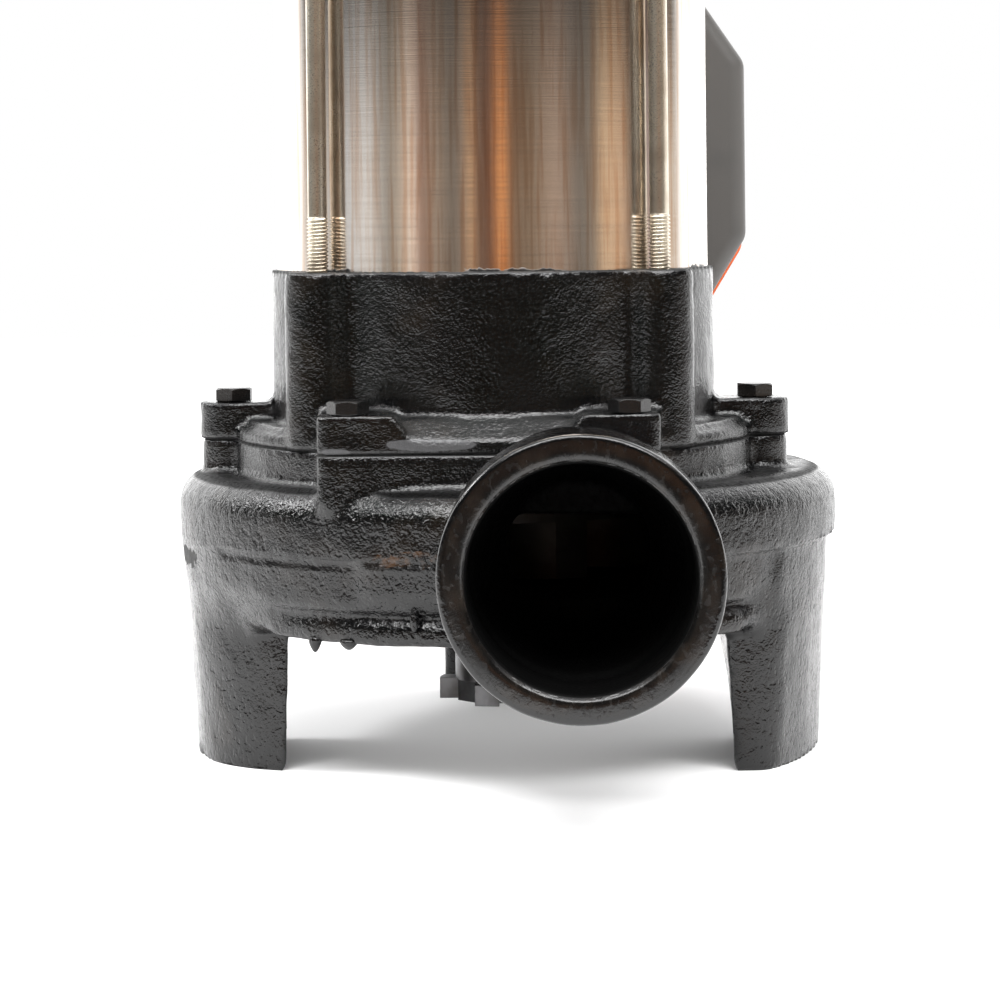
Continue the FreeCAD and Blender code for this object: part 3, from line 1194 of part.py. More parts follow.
save("float_gland_nut", float_gland_nut())
save("float_gland_sleeve", float_gland_sleeve())
save("float_cable", float_cable())
front_shell, rear_shell, seam_seal = float_shells()
save("float_front_shell", front_shell)
save("float_rear_shell", rear_shell)
save("float_seam_seal", seam_seal)
save("float_boot", float_boot())
save("float_ball_tube", float_ball_tube())
save("float_ball", float_ball())
save("float_micro_switch", float_micro_switch())
save("float_weight", float_weight())

for name, solids in BUILT.items():
    sound = all(s.isValid() and s.isClosed() for s in solids)
    print("%-26s %2d solids %10.0f mm3 %s" % (name, len(solids), sum(s.Volume for s in solids), sound))
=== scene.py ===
# %% [markdown]
# # A submersible grinder pump, dressed for a white studio
# The CAD part is already a true machine: castings, shell, rods, float. What it lacks is
# what sand moulding, paint and light do to it. Each step below adds one of those.

# %% The imported CAD part comes in, its pieces freed from their parents in place
import json
import math

import bmesh
import bpy
import numpy as np
from mathutils import Matrix, Vector


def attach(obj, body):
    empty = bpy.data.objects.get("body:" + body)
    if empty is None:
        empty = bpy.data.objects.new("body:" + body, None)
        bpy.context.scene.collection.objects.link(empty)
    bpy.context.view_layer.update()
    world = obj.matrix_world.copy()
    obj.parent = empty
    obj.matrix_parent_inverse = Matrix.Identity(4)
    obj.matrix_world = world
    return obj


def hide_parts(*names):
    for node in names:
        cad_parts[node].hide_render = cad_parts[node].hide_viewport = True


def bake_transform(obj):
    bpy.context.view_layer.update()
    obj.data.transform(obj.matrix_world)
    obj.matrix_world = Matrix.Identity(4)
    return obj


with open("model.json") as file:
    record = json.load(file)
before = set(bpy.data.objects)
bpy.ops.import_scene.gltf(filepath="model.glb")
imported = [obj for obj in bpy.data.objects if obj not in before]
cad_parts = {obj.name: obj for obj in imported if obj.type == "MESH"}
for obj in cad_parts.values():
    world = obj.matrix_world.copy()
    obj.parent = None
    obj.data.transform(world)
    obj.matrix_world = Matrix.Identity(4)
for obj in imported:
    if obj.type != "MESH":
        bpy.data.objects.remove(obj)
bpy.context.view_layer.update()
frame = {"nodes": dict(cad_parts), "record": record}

scene = bpy.context.scene
nodes = frame["nodes"]

# %% [markdown]
# ## Camera
# The lens looks level at the shaft axis from 0.85 m, 154 mm above the floor, turned
# 1.3 degrees round the pump and rolled by 0.6. A lens shift drops the view to the legs,
# which keeps every upright edge upright.

# %% Camera
CAMERA_DISTANCE, CAMERA_HEIGHT = 0.85, 0.1538
CAMERA_TURN, CAMERA_ROLL = math.radians(1.3), math.radians(0.6)
toward = Vector((-math.sin(CAMERA_TURN), math.cos(CAMERA_TURN), 0))
level = Vector((math.cos(CAMERA_TURN), math.sin(CAMERA_TURN), 0))
plumb = Vector((0, 0, 1))
right = level * math.cos(CAMERA_ROLL) - plumb * math.sin(CAMERA_ROLL)
above = plumb * math.cos(CAMERA_ROLL) + level * math.sin(CAMERA_ROLL)

lens = bpy.data.cameras.new("camera")
lens.lens, lens.sensor_width = 105, 36
lens.shift_x, lens.shift_y = 0.008, -0.282
lens.clip_start, lens.clip_end = 0.05, 20
camera = bpy.data.objects.new("camera", lens)
scene.collection.objects.link(camera)
stand = Vector((0, 0, CAMERA_HEIGHT)) - toward * CAMERA_DISTANCE
axes = Matrix((right, above, -toward)).transposed().to_4x4()
camera.matrix_world = Matrix.Translation(stand) @ axes
scene.camera = camera
scene.view_settings.view_transform = "Standard"

# %% [markdown]
# ## Shader arithmetic
# A socket that adds and multiplies like a number keeps each material as short as its
# formula. Every texture reads Object coordinates, which here are metres in the part's
# own frame, so a mask can say "below the seam" in plain heights.

# %% Sockets that behave like numbers
class Value:
    """A shader socket with arithmetic."""

    def __init__(self, graph, socket):
        self.graph, self.socket = graph, socket

    def maths(self, operation, *others):
        sockets = dict(enumerate((self, *others)))
        return self.graph.node("ShaderNodeMath", {"operation": operation}, sockets)

    def __add__(self, other):
        return self.maths("ADD", other)

    def __sub__(self, other):
        return self.maths("SUBTRACT", other)

    def __rsub__(self, other):
        return self * -1 + other

    def __mul__(self, other):
        return self.maths("MULTIPLY", other)

    def __truediv__(self, other):
        return self.maths("DIVIDE", other)

    def __pow__(self, other):
        return self.maths("POWER", other)

    __radd__, __rmul__ = __add__, __mul__

    def between(self, low, high):
        """0 at low, 1 at high, smooth in between; low may be the larger."""
        settings = {"interpolation_type": "SMOOTHSTEP"}
        sockets = {0: self, 1: low, 2: high, 3: 0.0, 4: 1.0}
        return self.graph.node("ShaderNodeMapRange", settings, sockets)

    def near(self, level, half, edge):
        """1 within half of level, fading over edge on both sides."""
        return (self - level).maths("ABSOLUTE").between(half + edge, half)


# %% A node tree under construction
class Graph:
    """Nodes of one material or of the world."""

    def __init__(self, tree):
        self.tree = tree
        tree.nodes.clear()

    def node(self, kind, settings=None, sockets=None, out=0):
        """Adds a node: its settings first, then the values or links of its sockets."""
        node = self.tree.nodes.new(kind)
        for key, value in (settings or {}).items():
            if key == "stops":
                band = node.color_ramp
                while len(band.elements) < len(value):
                    band.elements.new(0.5)
                for element, (place, colour) in zip(band.elements, value):
                    element.position = place
                    element.color = (*colour, 1)
            else:
                setattr(node, key, value)
        for key, value in (sockets or {}).items():
            slot = node.inputs[key]
            if isinstance(value, Value):
                self.tree.links.new(value.socket, slot)
            elif isinstance(value, tuple) and slot.type == "RGBA":
                slot.default_value = (*value, 1)
            else:
                slot.default_value = value
        return Value(self, node.outputs[out] if node.outputs else None)

    def noise(self, grain, place, detail=2.0, stretch=(1, 1, 1)):
        """Fractal noise with its grain in metres; stretch makes the grain longer per axis."""
        scale = [1 / s for s in stretch]
        place = self.node("ShaderNodeMapping", {}, {"Vector": place, "Scale": scale})
        sockets = {"Vector": place, "Scale": 1 / grain, "Detail": detail}
        return self.node("ShaderNodeTexNoise", {}, sockets)

    def cells(self, grain, place):
        """Distance to the nearest of many scattered points, about grain apart."""
        return self.node("ShaderNodeTexVoronoi", {"feature": "SMOOTH_F1"},
                         {"Vector": place, "Scale": 1 / grain}, "Distance")

    def mix(self, low, high, share):
        """Colour between two, by a share from 0 to 1."""
        return self.node("ShaderNodeMix", {"data_type": "RGBA"}, {0: share, 6: low, 7: high}, 2)

    def relief(self, height, depth, normal=None):
        """Bump whose height of 1 stands depth metres proud."""
        sockets = {"Strength": 1.0, "Distance": depth, "Height": height}
        if normal:
            sockets["Normal"] = normal
        return self.node("ShaderNodeBump", {}, sockets)

    def soft_edges(self, radius):
        """Normals that round every edge by radius."""
        return self.node("ShaderNodeBevel", {"samples": 6}, {"Radius": radius})


class Finish(Graph):
    """A material with one Principled shader, reading places in metres."""

    def __init__(self, name):
        self.material = bpy.data.materials.new(name)
        self.material.use_nodes = True
        super().__init__(self.material.node_tree)
        self.place = self.node("ShaderNodeTexCoord", out="Object")
        parts = self.node("ShaderNodeSeparateXYZ", {}, {0: self.place}).socket.node
        self.x, self.y, self.z = (Value(self, socket) for socket in parts.outputs)

    def done(self, **sockets):
        sockets = {key.replace("_", " "): value for key, value in sockets.items()}
        shader = self.node("ShaderNodeBsdfPrincipled", {}, sockets)
        self.node("ShaderNodeOutputMaterial", {}, {"Surface": shader})
        return self.material


# %% [markdown]
# ## Paint on sand-cast iron
# The castings are dipped in gloss black paint that keeps the grain of the sand mould.
# Fine sand, close-set pebbles, a few deeper pits on the belly and broad lumps, each at
# its real size, make the relief. It fades towards the turned port and is calmer on the
# legs, where the paint ran thicker. Colour stays nearly black, browner where the paint
# is thin, with a rust smear beside the port and grey sealant on the flange front.

# %% Places on the castings
SEAM = 0.0907
RIM = 0.1393
FLANGE_FRONT = -0.071
PORT_X, PORT_Z = 0.024, 0.0655
CHAMBER_X, CHAMBER_Y, CHAMBER_Z, CHAMBER_R = 0.003, 0.014, 0.066, 0.0925


def smear(graph, middle, half, ragged):
    """Patch about a place: an ellipsoid of half sizes, its edge broken up by noise."""
    grain = graph.noise(0.0035, graph.place, 3.0) - 0.5
    reach = grain * ragged
    for axis, level, size in zip((graph.x, graph.y, graph.z), middle, half):
        reach = reach + ((axis - level) / size) ** 2
    return reach.between(1.15, 0.85)


# %% Black paint over castings
def painted_casting():
    """Gloss black over sand-cast iron: relief, worn brown tint, sealant, machined port."""
    g = Finish("black_casting")
    x, y, z = g.x, g.y, g.z

    # Regions: belly and legs by height, the turned port end, hollows, seam and rim
    belly, legs = z.between(0.088, 0.078), z.between(0.052, 0.036)
    neck_end = y.between(-0.108, -0.118)
    away = ((x - PORT_X) ** 2 + (z - PORT_Z) ** 2) ** 0.5
    turned = away.between(0.0345, 0.0335) * y.between(-0.1125, -0.114)
    bore = away.between(0.0290, 0.0286) * y.between(-0.050, -0.070)
    chamber = ((x - CHAMBER_X) ** 2 + (y - CHAMBER_Y) ** 2) ** 0.5
    chamber = chamber.between(CHAMBER_R, CHAMBER_R - 0.0013) * z.near(CHAMBER_Z, 0.0145, 0.001)
    # The hollows of the bore and the volute chamber carry painted shade: see the colour and
    # metallic below
    inside = chamber.maths("MAXIMUM", bore)
    seam = z.near(SEAM, 0.0003, 0.0004) * y.between(-0.090, -0.080)
    rim = z.between(RIM - 0.0007, RIM - 0.0002)

    # Relief, in millimetres
    sand, dots = g.noise(0.0005, g.place), g.cells(0.0011, g.place)
    pits = g.noise(0.0015, g.place, 1.0, (1, 1, 1.4)).between(0.48, 0.30)
    lumps = g.noise(0.010, g.place, 1.0)
    torn = smear(g, (-0.0885, -0.0140, 0.0575), (0.0060, 0.0125, 0.0026), 5.0)
    ledge = z.between(0.0634, 0.0626) * z.between(0.0590, 0.0622)
    ledge = ledge * x.near(-0.0560, 0.018, 0.004) * y.between(-0.02, -0.04)
    height = sand * 0.17 - dots * 0.13 - pits * belly * 0.15 + lumps * 0.22
    height = height - torn * 2.0 - ledge * 1.1
    calm = 1 - neck_end * 0.72 - turned * 0.13 - legs * 0.35
    normal = g.relief(height * calm, 0.001, g.soft_edges(0.0006))

    # Colour, from the paint up to what lies on it
    thin = g.noise(0.020, g.place, 3.0).between(0.52, 0.72)
    colour = g.mix((0.0013, 0.0013, 0.0014), (0.0048, 0.0035, 0.0026), thin)
    rust = smear(g, (-0.020, -0.080, 0.0634), (0.010, 0.02, 0.0026), 3.5)
    rust = rust * g.noise(0.003, g.place, 3.0).between(0.40, 0.62)
    colour = g.mix(colour, (0.045, 0.022, 0.010), rust * 0.8)
    stain = g.noise(0.006, g.place, 3.0).between(0.4, 0.7)
    iron = g.mix((0.0020, 0.0018, 0.0017), (0.0080, 0.0060, 0.0046), stain)
    colour = g.mix(colour, iron, turned)
    wide = smear(g, (-0.0150, FLANGE_FRONT, 0.0934), (0.0122, 0.0008, 0.0018), 0.9)
    narrow = smear(g, (-0.0415, FLANGE_FRONT, 0.0915), (0.0048, 0.0008, 0.0009), 0.8)
    sealant = wide.maths("MAXIMUM", narrow)
    colour = g.mix(colour, (0.045, 0.045, 0.047), sealant)
    # Painted shade in the hollows: near black and nearly metallic, so they reflect almost nothing
    colour = g.mix(colour, (0.003, 0.003, 0.003), inside)

    rough = 0.12 + pits * 0.12 + torn * 0.5 + turned * 0.08 + sealant * 0.2
    rough = rough + inside * 0.45 + seam * 0.7 + rim * 0.3
    return g.done(Base_Color=colour, Metallic=inside * 0.9, Roughness=rough, Normal=normal)


# %% [markdown]
# ## Brushed stainless steel
# The shell is a drawn tube, brushed round its length, so it mirrors the studio in sharp
# upright bands while the light smears up and down. Fine relief that is long round the
# tube and short along it does that; the bands come from the world, with a painted
# reflection of warm upright bands in the steel's colour on top.

# %% Stainless shell
def stainless_shell():
    g = Finish("stainless_shell")
    brush = g.noise(0.00022, g.place, 2.0, (120, 120, 1))
    scratch = g.noise(0.0009, g.place, 3.0, (40, 40, 1))
    # Warm upright bands in the steel's colour, changing round the tube: a painted reflection of the
    # studio's bands
    azimuth = g.x.maths("ARCTAN2", g.y * -1)
    line = g.node("ShaderNodeCombineXYZ", {}, {0: azimuth, 2: g.z * 0.6})
    painted_band_streak = g.node("ShaderNodeTexNoise", {}, {"Vector": line, "Scale": 34.0, "Detail": 4.0})
    steel_with_painted_bands = g.mix((0.64, 0.60, 0.56), (0.55, 0.44, 0.36), painted_band_streak.between(0.42, 0.68))
    grime = g.noise(0.004, g.place, 4.0)
    foot = (g.z - RIM + grime * 0.005 - 0.0020).between(0.0014, 0.0010)
    patches = g.x.near(0.0075, 0.012, 0.002).maths("MAXIMUM", g.x.near(-0.0425, 0.004, 0.002))
    patches = patches.maths("MAXIMUM", g.x.near(0.0585, 0.002, 0.001))
    paint = foot * patches * g.y.between(0, -0.02)
    colour = g.mix(steel_with_painted_bands, (0.012, 0.011, 0.011), paint)
    normal = g.relief(brush * 0.6 + scratch * 0.4, 0.000008)
    rough = 0.10 + scratch * 0.10 + paint * 0.2
    return g.done(Base_Color=colour, Metallic=1 - paint, Roughness=rough, Normal=normal)


# %% Plain metals
def worked_metal(name, colour, tint, rough, grain=0.0006, stretch=(1, 1, 1), depth=0.00001,
                 metallic=1.0):
    """Metal with a machined or cast grain; tint is its colour in the duller places."""
    g = Finish(name)
    tool = g.noise(grain, g.place, 3.0, stretch)
    cloud = g.noise(0.012, g.place, 3.0)
    shade = g.mix(colour, tint, cloud.between(0.4, 0.7))
    normal = g.relief(tool, depth, g.soft_edges(0.0003))
    rough = rough + tool * 0.12 + cloud * 0.06
    return g.done(Base_Color=shade, Metallic=metallic, Roughness=rough, Normal=normal)


# %% [markdown]
# ## Plastics and rubber
# The float's shells are moulded with a fine spark-eroded grain and handled a little,
# which leaves them duller in patches. Rubber is darker and rougher. One function serves
# them all, with the grain's size and depth as its arguments.

# %% Moulded plastics
def moulded(name, colour, tint, rough, grain=0.0005, depth=0.00002, edge=0.0004):
    """Plastic or rubber with a moulded grain and cloudy handling marks."""
    g = Finish(name)
    skin = g.noise(grain, g.place, 2.0)
    cloud = g.noise(0.018, g.place, 4.0)
    shade = g.mix(colour, tint, cloud.between(0.45, 0.75))
    normal = g.relief(skin, depth, g.soft_edges(edge))
    return g.done(Base_Color=shade, Roughness=rough + cloud * 0.15 + skin * 0.05, Normal=normal)


# %% Every slot of the record gets its finish
UPRIGHT, ROUND_ABOUT = (1, 1, 8), (50, 50, 1)


def grey(level, blue=0.0):
    """Neutral colour, its blue raised a little where asked."""
    return level, level, level + blue


finishes = {
    "black_casting": painted_casting(),
    "stainless_shell": stainless_shell(),
    # raw_casting is coloured far darker than bare cast iron: painted shade for the parts seen deep
    # inside the casing
    "raw_casting": worked_metal("raw_casting", (0.060, 0.056, 0.053), (0.036, 0.030, 0.027),
                                0.45, 0.0012, depth=0.00008),
    "bright_steel": worked_metal("bright_steel", grey(0.62, 0.01), grey(0.50, 0.01),
                                 0.18, 0.0004, (1, 1, 0.1)),
    "hardened_steel": worked_metal("hardened_steel", grey(0.16, 0.005), (0.07, 0.067, 0.065),
                                   0.30, 0.0008),
    "blackened_steel": worked_metal("blackened_steel", grey(0.004), (0.010, 0.008, 0.007),
                                    0.16, 0.0007, depth=0.00005, metallic=0.0),
    "stainless_fasteners": worked_metal("stainless_fasteners", (0.72, 0.66, 0.55),
                                        (0.52, 0.45, 0.36), 0.20, 0.0005, (1, 1, 0.3)),
    "laminated_steel": worked_metal("laminated_steel", grey(0.25, 0.02), (0.14, 0.13, 0.13),
                                    0.42, 0.0005, ROUND_ABOUT, 0.00003),
    "cast_aluminium": worked_metal("cast_aluminium", grey(0.66, 0.01), grey(0.52, 0.01),
                                   0.38, 0.0011, depth=0.00006),
    "copper": worked_metal("copper", (0.72, 0.33, 0.16), (0.50, 0.20, 0.09),
                           0.30, 0.0009, UPRIGHT, 0.00006),
    "brass": worked_metal("brass", (0.74, 0.56, 0.26), (0.58, 0.42, 0.18), 0.28),
    "ceramic": moulded("ceramic", grey(0.055, 0.005), grey(0.075, 0.005), 0.12, depth=0.000003),
    "black_rubber": moulded("black_rubber", grey(0.013, 0.001), grey(0.022, 0.001), 0.52),
    "cable_sheath": moulded("cable_sheath", grey(0.014, 0.001), grey(0.024, 0.001), 0.38, 0.0008),
    "black_plastic": moulded("black_plastic", grey(0.015, 0.001), grey(0.026, 0.002), 0.34),
    "white_plastic": moulded("white_plastic", grey(0.70, -0.03), grey(0.62, -0.04), 0.32),
    "grey_plastic": moulded("grey_plastic", (0.066, 0.062, 0.058), (0.057, 0.054, 0.051),
                            0.38, edge=0.0010),
    "orange_plastic": moulded("orange_plastic", (0.80, 0.135, 0.020), (0.66, 0.100, 0.018),
                              0.36, edge=0.0010),
}
slots = {entry["node"]: entry["material_slot"] for entry in frame["record"]["subparts"]}
for name, node in nodes.items():
    node.data.materials.clear()
    node.data.materials.append(finishes[slots[name]])
print("finishes:", len(finishes), "on", len(nodes), "nodes")

# %% [markdown]
# ## Cast skins
# CAD edges are knife-sharp, while a sand casting has none: its mould crumbles a little
# and paint pools in the corners. Each big casting is remeshed into an even net, smoothed
# so that edges and corners melt, and pushed about by a fraction of a millimetre. Machined
# planes keep their level, because points on them may only slide within the plane.

# %% New surfaces from arrays
def surface(name, points, faces, slot, body, replaced=(), merged=False, crease=0):
    """Mesh object from arrays, riding on a body; merged closes its poles and seams, and
    edges sharper than crease degrees stay crisp."""
    mesh = bpy.data.meshes.new(name)
    mesh.from_pydata(points.tolist(), [], faces.tolist())
    if merged:
        weld = bmesh.new()
        weld.from_mesh(mesh)
        bmesh.ops.remove_doubles(weld, verts=weld.verts, dist=1e-6)
        bmesh.ops.recalc_face_normals(weld, faces=weld.faces)
        weld.to_mesh(mesh)
        weld.free()
    mesh.shade_smooth()
    if crease:
        mesh.set_sharp_from_angle(angle=math.radians(crease))
    mesh.materials.append(finishes[slot])
    piece = bpy.data.objects.new(name, mesh)
    scene.collection.objects.link(piece)
    if body:
        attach(piece, body)
    if replaced:
        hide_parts(*replaced)
    print(name, len(points), "points")
    return piece


def grid_faces(rows, columns):
    """Quads of a rows by columns net, closed round the columns."""
    r, c = np.meshgrid(np.arange(rows - 1), np.arange(columns), indexing="ij")
    here, above, right = r * columns, (r + 1) * columns, (c + 1) % columns
    return np.stack((here + c, here + right, above + right, above + c), axis=-1).reshape(-1, 4)


def turned_net(x, y, radius, height):
    """Points about the upright axis at x, y: radius and height are rows by columns, and the
    columns share one turn."""
    turn = np.linspace(0, 2 * math.pi, radius.shape[1], endpoint=False)
    return np.stack([x + radius * np.cos(turn), y + radius * np.sin(turn), height], axis=-1)


def stack_of(nets):
    """Joins nets of equal size into one list of points and one of quads."""
    rows, columns = nets[0].shape[:2]
    side = grid_faces(rows, columns)
    faces = np.concatenate([side + rows * columns * i for i in range(len(nets))])
    return np.concatenate([net.reshape(-1, 3) for net in nets]), faces


# %% Even net over a CAD node
def even_net(node, voxel):
    """Points and quads of a closed CAD node, remeshed with even cells."""
    mesh = nodes[node].data.copy()
    weld = bmesh.new()
    weld.from_mesh(mesh)
    bmesh.ops.remove_doubles(weld, verts=weld.verts, dist=2e-6)
    weld.to_mesh(mesh)
    weld.free()
    rough = bpy.data.objects.new("net", mesh)
    scene.collection.objects.link(rough)
    remesh = rough.modifiers.new("net", "REMESH")
    remesh.mode, remesh.voxel_size = "VOXEL", voxel
    net = rough.evaluated_get(bpy.context.evaluated_depsgraph_get()).to_mesh()
    points = np.empty(len(net.vertices) * 3)
    net.vertices.foreach_get("co", points)
    corners = np.empty(len(net.loops), dtype=np.int64)
    net.loops.foreach_get("vertex_index", corners)
    assert len(corners) == 4 * len(net.polygons)
    bpy.data.objects.remove(rough)
    return points.reshape(-1, 3), corners.reshape(-1, 4)


def neighbour_mean(quads, total):
    """Function that gives every point the mean of its neighbours along the quads' edges."""
    start, end = quads.ravel(), np.roll(quads, -1, axis=1).ravel()
    count = np.bincount(start, minlength=total)[:, None]

    def mean(points):
        sums = [np.bincount(start, points[end, k], total) for k in range(3)]
        return np.stack(sums, axis=1) / count

    return mean


def relaxed(points, quads, rounds, freedom):
    """Taubin smoothing: each round moves points to their neighbours' mean, then back out a
    little more, so that edges melt and volume stays. freedom scales each axis's movement."""
    mean = neighbour_mean(quads, len(points))
    for step in range(2 * rounds):
        points = points + (mean(points) - points) * freedom * (0.55 if step % 2 == 0 else -0.57)
    return points


def melted(points, quads, middle, half, rounds):
    """Plain smoothing about one place, fading out at the edge of an ellipsoid."""
    mean = neighbour_mean(quads, len(points))
    share = 0.5 * np.clip(2 - 2 * np.sum(((points - middle) / half) ** 2, axis=1)[:, None], 0, 1)
    for step in range(rounds):
        points = points + (mean(points) - points) * share
    return points


def ripples(points, wavelength, seed):
    """Smooth random field of about -1 to 1: many plane waves in scattered directions."""
    random = np.random.default_rng(seed)
    waves = random.normal(size=(40, 3))
    waves *= 2 * math.pi / wavelength / np.linalg.norm(waves, axis=1, keepdims=True)
    waves *= random.uniform(0.7, 1.5, (40, 1))
    return np.sin(points @ waves.T + random.uniform(0, 2 * math.pi, 40)).mean(axis=1) * 4.5


def outward(points, quads):
    """Unit normals of the points, from the quads round them."""
    a, b, c, d = (points[quads[:, k]] for k in range(4))
    face = np.repeat(np.cross(c - a, d - b), 4, axis=0)
    normal = [np.bincount(quads.ravel(), face[:, k], len(points)) for k in range(3)]
    normal = np.stack(normal, axis=1)
    return normal / np.maximum(np.linalg.norm(normal, axis=1, keepdims=True), 1e-12)


# %% What the pattern and the knife left on the volute
# The legs' outer wall leans: it is a circle round (LEG_X, LEG_Y) that widens with height.
LEG_X, LEG_Y, FOOT_OUT, LEG_LEAN = 0.00295, 0.0135, 0.0911, 0.052
LEFT_FRONT, RIGHT_FRONT = -0.0375, -0.0415
LEFT_ROUND, RIGHT_ROUND, MOST_CUT = 0.035, 0.014, 0.006
LEG_TOPS, LEG_TOP_REACH = ((-0.072, -0.046, 0.044), (0.080, -0.046, 0.044)), (0.014, 0.020, 0.010)
COLLAR_BACK, PORT_END = -0.1172, -0.1404
# The belly's lower half is round (LOW_X, LOW_Y) and moves out by HALF_STEP near the neck.
LOW_X, LOW_Y, HALF_STEP = 0.0022, 0.0148, 0.0016


def rounded_corner(points, side, front, radius):
    """Rounds the outer front corner of the left (-1) or right (1) leg, up to the belly."""
    x, y, z = points.T
    middle_y = front + radius
    out = FOOT_OUT + LEG_LEAN * z - radius
    middle_x = LEG_X + side * np.sqrt(out ** 2 - (middle_y - LEG_Y) ** 2)
    arm_x, arm_y = x - middle_x, y - middle_y
    reach = np.maximum(np.hypot(arm_x, arm_y), 1e-6)
    beyond_tangent = side * ((middle_x - LEG_X) * arm_y - (middle_y - LEG_Y) * arm_x) < 0
    inside = beyond_tangent & (arm_x * side > 0) & (reach > radius)
    share = inside * np.clip((0.050 - z) / 0.010, 0, 1) * np.clip((y - front) / 0.002 + 1, 0, 1)
    move = np.minimum(reach - radius, MOST_CUT) * share / reach
    return points - np.stack([arm_x * move, arm_y * move, 0 * z], axis=1)


def burr(points, middle, push):
    """A small spur left by the mould's seam."""
    near = np.exp(-np.sum(((points - middle) / 0.0016) ** 2, axis=1))
    return points + near[:, None] * push


def under_collar(points):
    """Draws the end of the discharge port in, so that the turned collar covers it."""
    x, y, z = points.T
    arm_x, arm_z = x - PORT_X, z - PORT_Z
    reach = np.maximum(np.hypot(arm_x, arm_z), 1e-6)
    share = np.clip((COLLAR_BACK - y) / 0.0014, 0, 1) * (reach > 0.02)
    change = (0.0319 - reach) * 0.12 * share / reach
    return np.stack([x + arm_x * change, np.maximum(y, PORT_END), z + arm_z * change], axis=1)


def flush_half(points):
    """Near the discharge neck the belly's lower half stands level with the upper half."""
    x, y, z = points.T
    arm = points * (1, 1, 0) - (LOW_X, LOW_Y, 0)
    reach = np.linalg.norm(arm, axis=1)
    band = np.clip((z - 0.0495) / 0.004, 0, 1) * np.clip((0.0618 - z) / 0.0006, 0, 1)
    side = np.clip((x + 0.0365) / 0.005, 0, 1) * (x < 0.001) * (y < -0.05)
    outside = np.clip((reach - 0.090) / 0.002, 0, 1) * np.clip((0.103 - reach) / 0.003, 0, 1)
    return arm / reach[:, None] * (HALF_STEP * band * side * outside)[:, None]


def cut_volute(points, quads):
    """The port's end drawn in, the legs' corners rounded, their tops melted, one spur."""
    points = under_collar(points)
    points = rounded_corner(points, -1, LEFT_FRONT, LEFT_ROUND)
    points = rounded_corner(points, 1, RIGHT_FRONT, RIGHT_ROUND)
    for leg_top in LEG_TOPS:
        points = melted(points, quads, leg_top, LEG_TOP_REACH, 30)
    return burr(points, (-0.0868, -0.0080, 0.0008), (-0.0020, -0.0003, 0))


# %% The two big castings
def cast_skin(name, node, voxel, levels, before=None):
    """Even, smoothed and slightly wavy skin of a casting; levels are the heights of its
    machined faces, and before is what happens to its net first."""
    points, quads = even_net(node, voxel)
    if before:
        points = before(points, quads)
    freedom = np.ones_like(points)
    swell = np.full(len(points), 0.00014)
    for level in levels:
        on_face = np.abs(points[:, 2] - level) < 0.3 * voxel
        points[on_face, 2] = level
        freedom[on_face, 2] = 0
        swell *= np.clip((np.abs(points[:, 2] - level) - 0.001) / 0.004, 0, 1)
    points = relaxed(points, quads, 3, freedom)
    move = ripples(points, 0.016, 5) + 0.5 * ripples(points, 0.006, 6)
    points = points + outward(points, quads) * (swell * move)[:, None] + flush_half(points)
    return surface(name, points, quads, "black_casting", "pump", [node])


cast_skin("casing_skin", "volute_casing", 0.00135, (0.0, SEAM), cut_volute)
cast_skin("bracket_skin", "motor_bracket", 0.0012, (SEAM, RIM))

# %% [markdown]
# ## Turned collar of the discharge port
# The port is the one place where a lathe cut the casting after it was poured. Its rings
# have to be true circles, so the collar is a profile turned about the port's own axis.

# %% Port collar
# (radius, y) round the turned profile, from the bore's back edge
COLLAR = (
    (0.02850, -0.1172), (0.02825, -0.1184), (0.02825, -0.1240), (0.02825, -0.1350),
    (0.02825, -0.1392), (0.02845, -0.1395), (0.02950, -0.14085), (0.02975, -0.1410),
    (0.03150, -0.1410), (0.03420, -0.1410), (0.03490, -0.14088), (0.03530, -0.1405),
    (0.03555, -0.1398), (0.03560, -0.1388), (0.03560, -0.1300), (0.03560, -0.1240),
    (0.03560, -0.1186), (0.03550, -0.1178), (0.03515, -0.1170), (0.03400, -0.1168),
    (0.03000, -0.1168))
turn = np.linspace(0, 2 * math.pi, 160, endpoint=False)
cos, sin = np.cos(turn), np.sin(turn)
radius, along = np.array(COLLAR + COLLAR[:1]).T[:, :, None]
wear = 0.00005 * ripples(np.stack([cos, sin, 0 * turn], axis=1) * 0.035, 0.012, 9)
ring = radius + wear * (radius > 0.03)
collar_net = np.stack([PORT_X + ring * cos, along + 0 * turn, PORT_Z + ring * sin], axis=-1)
surface("port_collar", *stack_of([collar_net]), "black_casting", "pump", merged=True)

# %% [markdown]
# ## Paint runs
# Paint ran down the belly and froze in beads under the ring. A bead is a round drop with
# its top pulled out into a thread: radius against height, turned about the vertical.

# %% Beads of paint
# (x, y, height of the edge it hangs from, radius, drop, low)
NECK = 0.0012
RUNS = ((-0.0477, -0.0612, 0.0400, 0.0018, 0.0034, 0.5),
        (-0.0381, -0.0670, 0.0400, 0.0025, 0.0020, 0.5),
        (-0.0200, -0.0764, 0.0520, 0.0013, 0.0082, 1.7))


def bead(x, y, z, radius, drop, low):
    """Points of one drop hanging from height z, closed at both ends; a larger low puts its
    widest place nearer the tip."""
    turn = np.linspace(0, 2 * math.pi, 16, endpoint=False)
    along = np.linspace(0, 1, 14)
    height = z + NECK - along * (drop + NECK)
    width = radius * np.sin(np.pi * along ** low) ** 0.6
    return turned_net(x, y, width[:, None] + 0 * turn, height[:, None] + 0 * turn)


beads = stack_of([bead(*run) for run in RUNS])
surface("paint_beads", *beads, "black_casting", "pump", merged=True)

